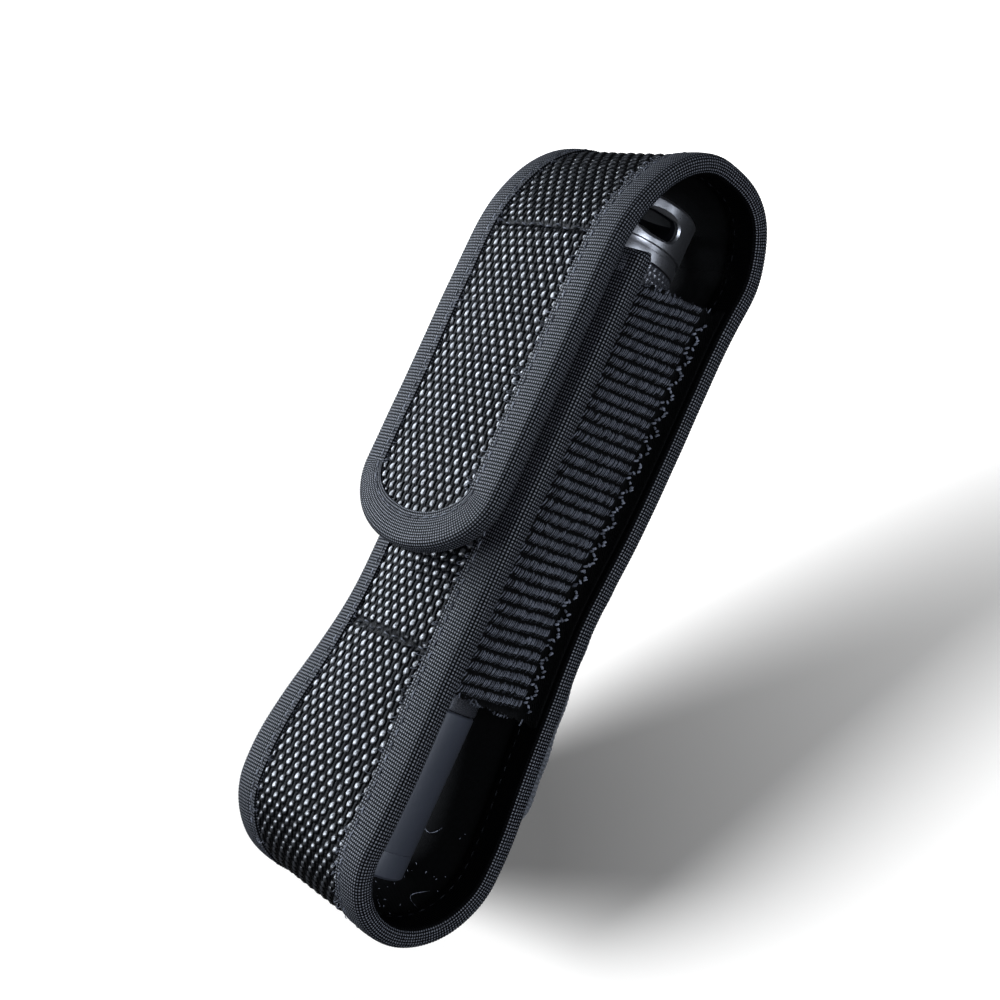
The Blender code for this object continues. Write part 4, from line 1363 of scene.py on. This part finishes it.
def window_cutter():
    """Four long windows through the crown, each with a chamfer round its outer edge."""
    half_height = (WINDOW_HIGH - WINDOW_LOW) / 2
    level = (WINDOW_LOW + WINDOW_HIGH) / 2
    straight = LIGHT_RADIUS * WINDOW_REACH - half_height
    chamfer, proud = 0.00045, 0.0008
    layers = ((0.0085, 0.0), (LIGHT_RADIUS - chamfer, 0.0), (LIGHT_RADIUS + proud, chamfer + proud))
    cutter = bmesh.new()

    def corner(radius, angle, height):
        return cutter.verts.new((radius * cos(angle), radius * sin(angle), height))

    for k in range(4):
        middle = WINDOW_TURN + k * pi / 2
        rings = []
        for radius, grow in layers:
            ring = []
            for turn in np.linspace(-pi / 2, pi * 3 / 2, 32, endpoint=False):
                side = 1 if turn < pi / 2 - 1e-6 else -1
                out = half_height + grow
                angle = middle + (side * straight + out * cos(turn)) / LIGHT_RADIUS
                ring.append(corner(radius, angle, level + out * sin(turn)))
            rings.append(ring)
        for inner, outer in zip(rings, rings[1:]):
            for i, j in neighbours(len(inner)):
                cutter.faces.new((inner[i], inner[j], outer[j], outer[i]))
        for ring, (radius, _) in ((rings[0], layers[0]), (rings[-1], layers[-1])):
            hub = corner(radius, middle, level)
            for i, j in neighbours(len(ring)):
                cutter.faces.new((ring[i], ring[j], hub))
    bmesh.ops.triangulate(cutter, faces=cutter.faces)
    bmesh.ops.recalc_face_normals(cutter, faces=cutter.faces)
    return from_bmesh("window_cutter", cutter)


def build_tailcap():
    radius, top = LIGHT_RADIUS, LIGHT_LENGTH
    shell = turned("crown", [
        (radius - 0.0008, top), (radius, top - 0.0008), (radius, 0.1536), (0.0120, 0.1536),
        (0.0120, 0.1522), (radius, 0.1522), (radius, TUBE_TOP + 0.0003), (0.0113, TUBE_TOP + 0.0003),
        (0.0113, 0.1533), (0.0068, 0.1533), (0.0068, 0.1547), (0.0100, 0.1547),
        (0.0100, top - 0.0010), (0.0107, top),
    ], 0.00018)
    cutter = window_cutter()
    cut = shell.modifiers.new("windows", "BOOLEAN")
    cut.operation = "DIFFERENCE"
    cut.solver = "EXACT"
    cut.object = cutter
    evaluated = shell.evaluated_get(bpy.context.evaluated_depsgraph_get())
    mesh = bpy.data.meshes.new_from_object(evaluated)
    shell.modifiers.clear()
    shell.data = mesh
    bpy.data.objects.remove(cutter)
    mesh.set_sharp_from_angle(angle=radians(30))
    place_piece(shell, "tailcap", "gun_metal", "tailcap_shell")


def build_button():
    light_part("boot", "button", "rubber", "button_boot", [
        (0, 0.1592), (0.0030, 0.1589), (0.0052, 0.1578), (0.0063, 0.1560), (0.0063, 0.1529),
        (0.0080, 0.1529), (0.0080, 0.1519), (0.0052, 0.1519), (0.0052, 0.1557), (0.0042, 0.1569),
        (0, 0.1578),
    ], 0.0006, 96)


def finish_inside():
    """The light's inner pieces keep their CAD shapes and get their looks here."""
    for subpart in frame["record"]["subparts"]:
        node = frame["nodes"][subpart["node"]]
        node.data.materials.clear()
        node.data.materials.append(SURFACES[subpart["material_slot"]])


# Stage

def toward(azimuth, elevation):
    """The direction to a place round the object, in degrees from its front and above its level."""
    a, e = radians(azimuth), radians(elevation)
    return Vector((sin(a) * cos(e), -cos(a) * cos(e), sin(e)))


def camera_turn():
    """The camera's right, up and back directions, as the columns of a matrix."""
    level = (-toward(CAMERA_AZIMUTH, CAMERA_ELEVATION)).to_track_quat("-Z", "Y").to_matrix()
    return level @ Matrix.Rotation(radians(CAMERA_ROLL), 3, "Z")


def build_stage(leaning):
    """A pale floor that is level for the rolled camera, so that the pouch leans on its lowest corner.

    It is seen from above only, and fades into an equally pale surround.
    """
    right, up, back = camera_turn().transposed()
    normal = (up * cos(FLOOR_TILT) + back * sin(FLOOR_TILT)).normalized()
    ahead = normal.cross(right).normalized()
    corners = [piece.matrix_world @ v.co for piece in leaning for v in piece.data.vertices]
    foot = min(corners, key=normal.dot)
    middle = foot - normal * 0.0006
    size = 3.0
    turn = np.linspace(0, tau, 64, endpoint=False)
    ring = [middle + (right * cos(t) + ahead * sin(t)) * size for t in turn]
    mesh = bpy.data.meshes.new("floor")
    mesh.from_pydata(ring, [], [list(range(len(ring)))])
    nodes = Nodes("pale_floor")
    position = nodes.add("NewGeometry")
    offset = nodes.add("VectorMath", {0: position.outputs["Position"], 1: middle}, operation="DISTANCE")
    away = offset.outputs["Value"]
    seen = nodes.add("LightPath").outputs["Is Camera Ray"]
    see_through = nodes.add("BsdfTransparent").outputs[0]
    # Painted light: for the camera the floor glows, faintly near its middle and fully white from 0.45 m out, which
    # fills the sun's shadow away from the pouch.
    glow = nodes.scaled(away, 0.05, 0.45, FLOOR_GLOW, 1.0)
    nodes.set(
        Base_Color=nodes.mix(seen, (0.10, 0.10, 0.10, 1), (0.9, 0.9, 0.9, 1)), Roughness=0.8,
        Emission_Color=(1, 1, 1, 1), Emission_Strength=nodes.math("MULTIPLY", seen, glow),
        Specular_IOR_Level=0.0,
    )
    share = nodes.math("MAXIMUM", nodes.scaled(away, 0.5, 1.2), position.outputs["Backfacing"])
    mixed = nodes.add("MixShader", {0: share, 1: nodes.surface.outputs[0], 2: see_through})
    nodes.put(nodes.tree.nodes["Material Output"].inputs["Surface"], mixed.outputs[0])
    mesh.materials.append(nodes.made)
    floor = linked("floor", mesh)

    sun = linked("floor_sun", bpy.data.lights.new("floor_sun", "SUN"))
    sun.data.energy = 7.0
    sun.data.angle = radians(22)
    across = right * cos(SUN_TURN) + ahead * sin(SUN_TURN)
    travel = across * cos(SUN_HEIGHT) - normal * sin(SUN_HEIGHT)
    aim(sun, travel)
    lit = bpy.data.collections.new("lit_by_floor_sun")
    lit.objects.link(floor)
    sun.light_linking.receiver_collection = lit
    shaded = bpy.data.collections.new("lit_by_softboxes")
    shaded.objects.link(floor)
    shaded.collection_objects[0].light_linking.link_state = "EXCLUDE"


def build_world():
    """A white surround for the camera and a dim one for the object."""
    nodes = Nodes("studio", bpy.data.worlds)
    bpy.context.scene.world = nodes.made
    lit = nodes.tree.nodes["Background"]
    nodes.put(lit.inputs["Color"], (0.90, 0.95, 1.0, 1))
    nodes.put(lit.inputs["Strength"], SURROUND)
    seen = nodes.add("Background", {"Color": (1, 1, 1, 1), "Strength": 1.05})
    share = nodes.add("LightPath").outputs["Is Camera Ray"]
    mixed = nodes.add("MixShader", {0: share, 1: lit.outputs[0], 2: seen.outputs[0]})
    nodes.put(nodes.tree.nodes["World Output"].inputs["Surface"], mixed.outputs[0])
    bpy.context.scene.view_settings.view_transform = "Standard"


def aim(light, direction):
    light.rotation_mode = "QUATERNION"
    light.rotation_quaternion = direction.to_track_quat("-Z", "Y")


def softbox(name, azimuth, elevation, distance, size, power, target=(0, -0.02, 0.01)):
    """A soft, slightly cool light round the object."""
    data = bpy.data.lights.new(name, "AREA")
    data.shape = "RECTANGLE"
    data.size, data.size_y = size
    data.energy = power
    data.color = (0.88, 0.96, 1.08)
    light = linked(name, data)
    back = toward(azimuth, elevation)
    light.location = Vector(target) + back * distance
    aim(light, -back)
    light.light_linking.receiver_collection = bpy.data.collections["lit_by_softboxes"]


def build_lights():
    softbox("key", -52, 8, 0.75, (0.28, 0.60), 13.0)
    softbox("low", -36, -22, 0.70, (0.30, 0.30), 7.0, target=(0, -0.03, -0.05))
    softbox("top", 10, 66, 0.70, (0.30, 0.30), 0.8)
    softbox("side", 104, 10, 0.70, (0.16, 0.55), 1.3)
    softbox("front", 72, -3, 0.90, (0.30, 0.50), 9.0)
    softbox("back", 190, 14, 0.80, (0.60, 0.50), 18.0)


def build_camera():
    data = bpy.data.cameras.new("camera")
    data.lens = CAMERA_LENS
    data.sensor_width = 36.0
    data.clip_start, data.clip_end = 0.01, 50.0
    camera = linked("camera", data)
    turn = camera_turn()
    camera.location = CAMERA_TARGET + turn.col[2] * CAMERA_DISTANCE
    camera.rotation_mode = "QUATERNION"
    camera.rotation_quaternion = turn.to_quaternion()
    bpy.context.scene.camera = camera


build_cover()
build_bindings()
build_lining()
build_stitches()
build_fray()
build_lint()
build_elastic()
build_patches()
build_belt_loop()
finish_inside()
build_head()
build_tube()
build_tailcap()
build_button()
build_stage([bpy.data.objects["binding_left"], bpy.data.objects["binding_right"]])
build_world()
build_lights()
build_camera()
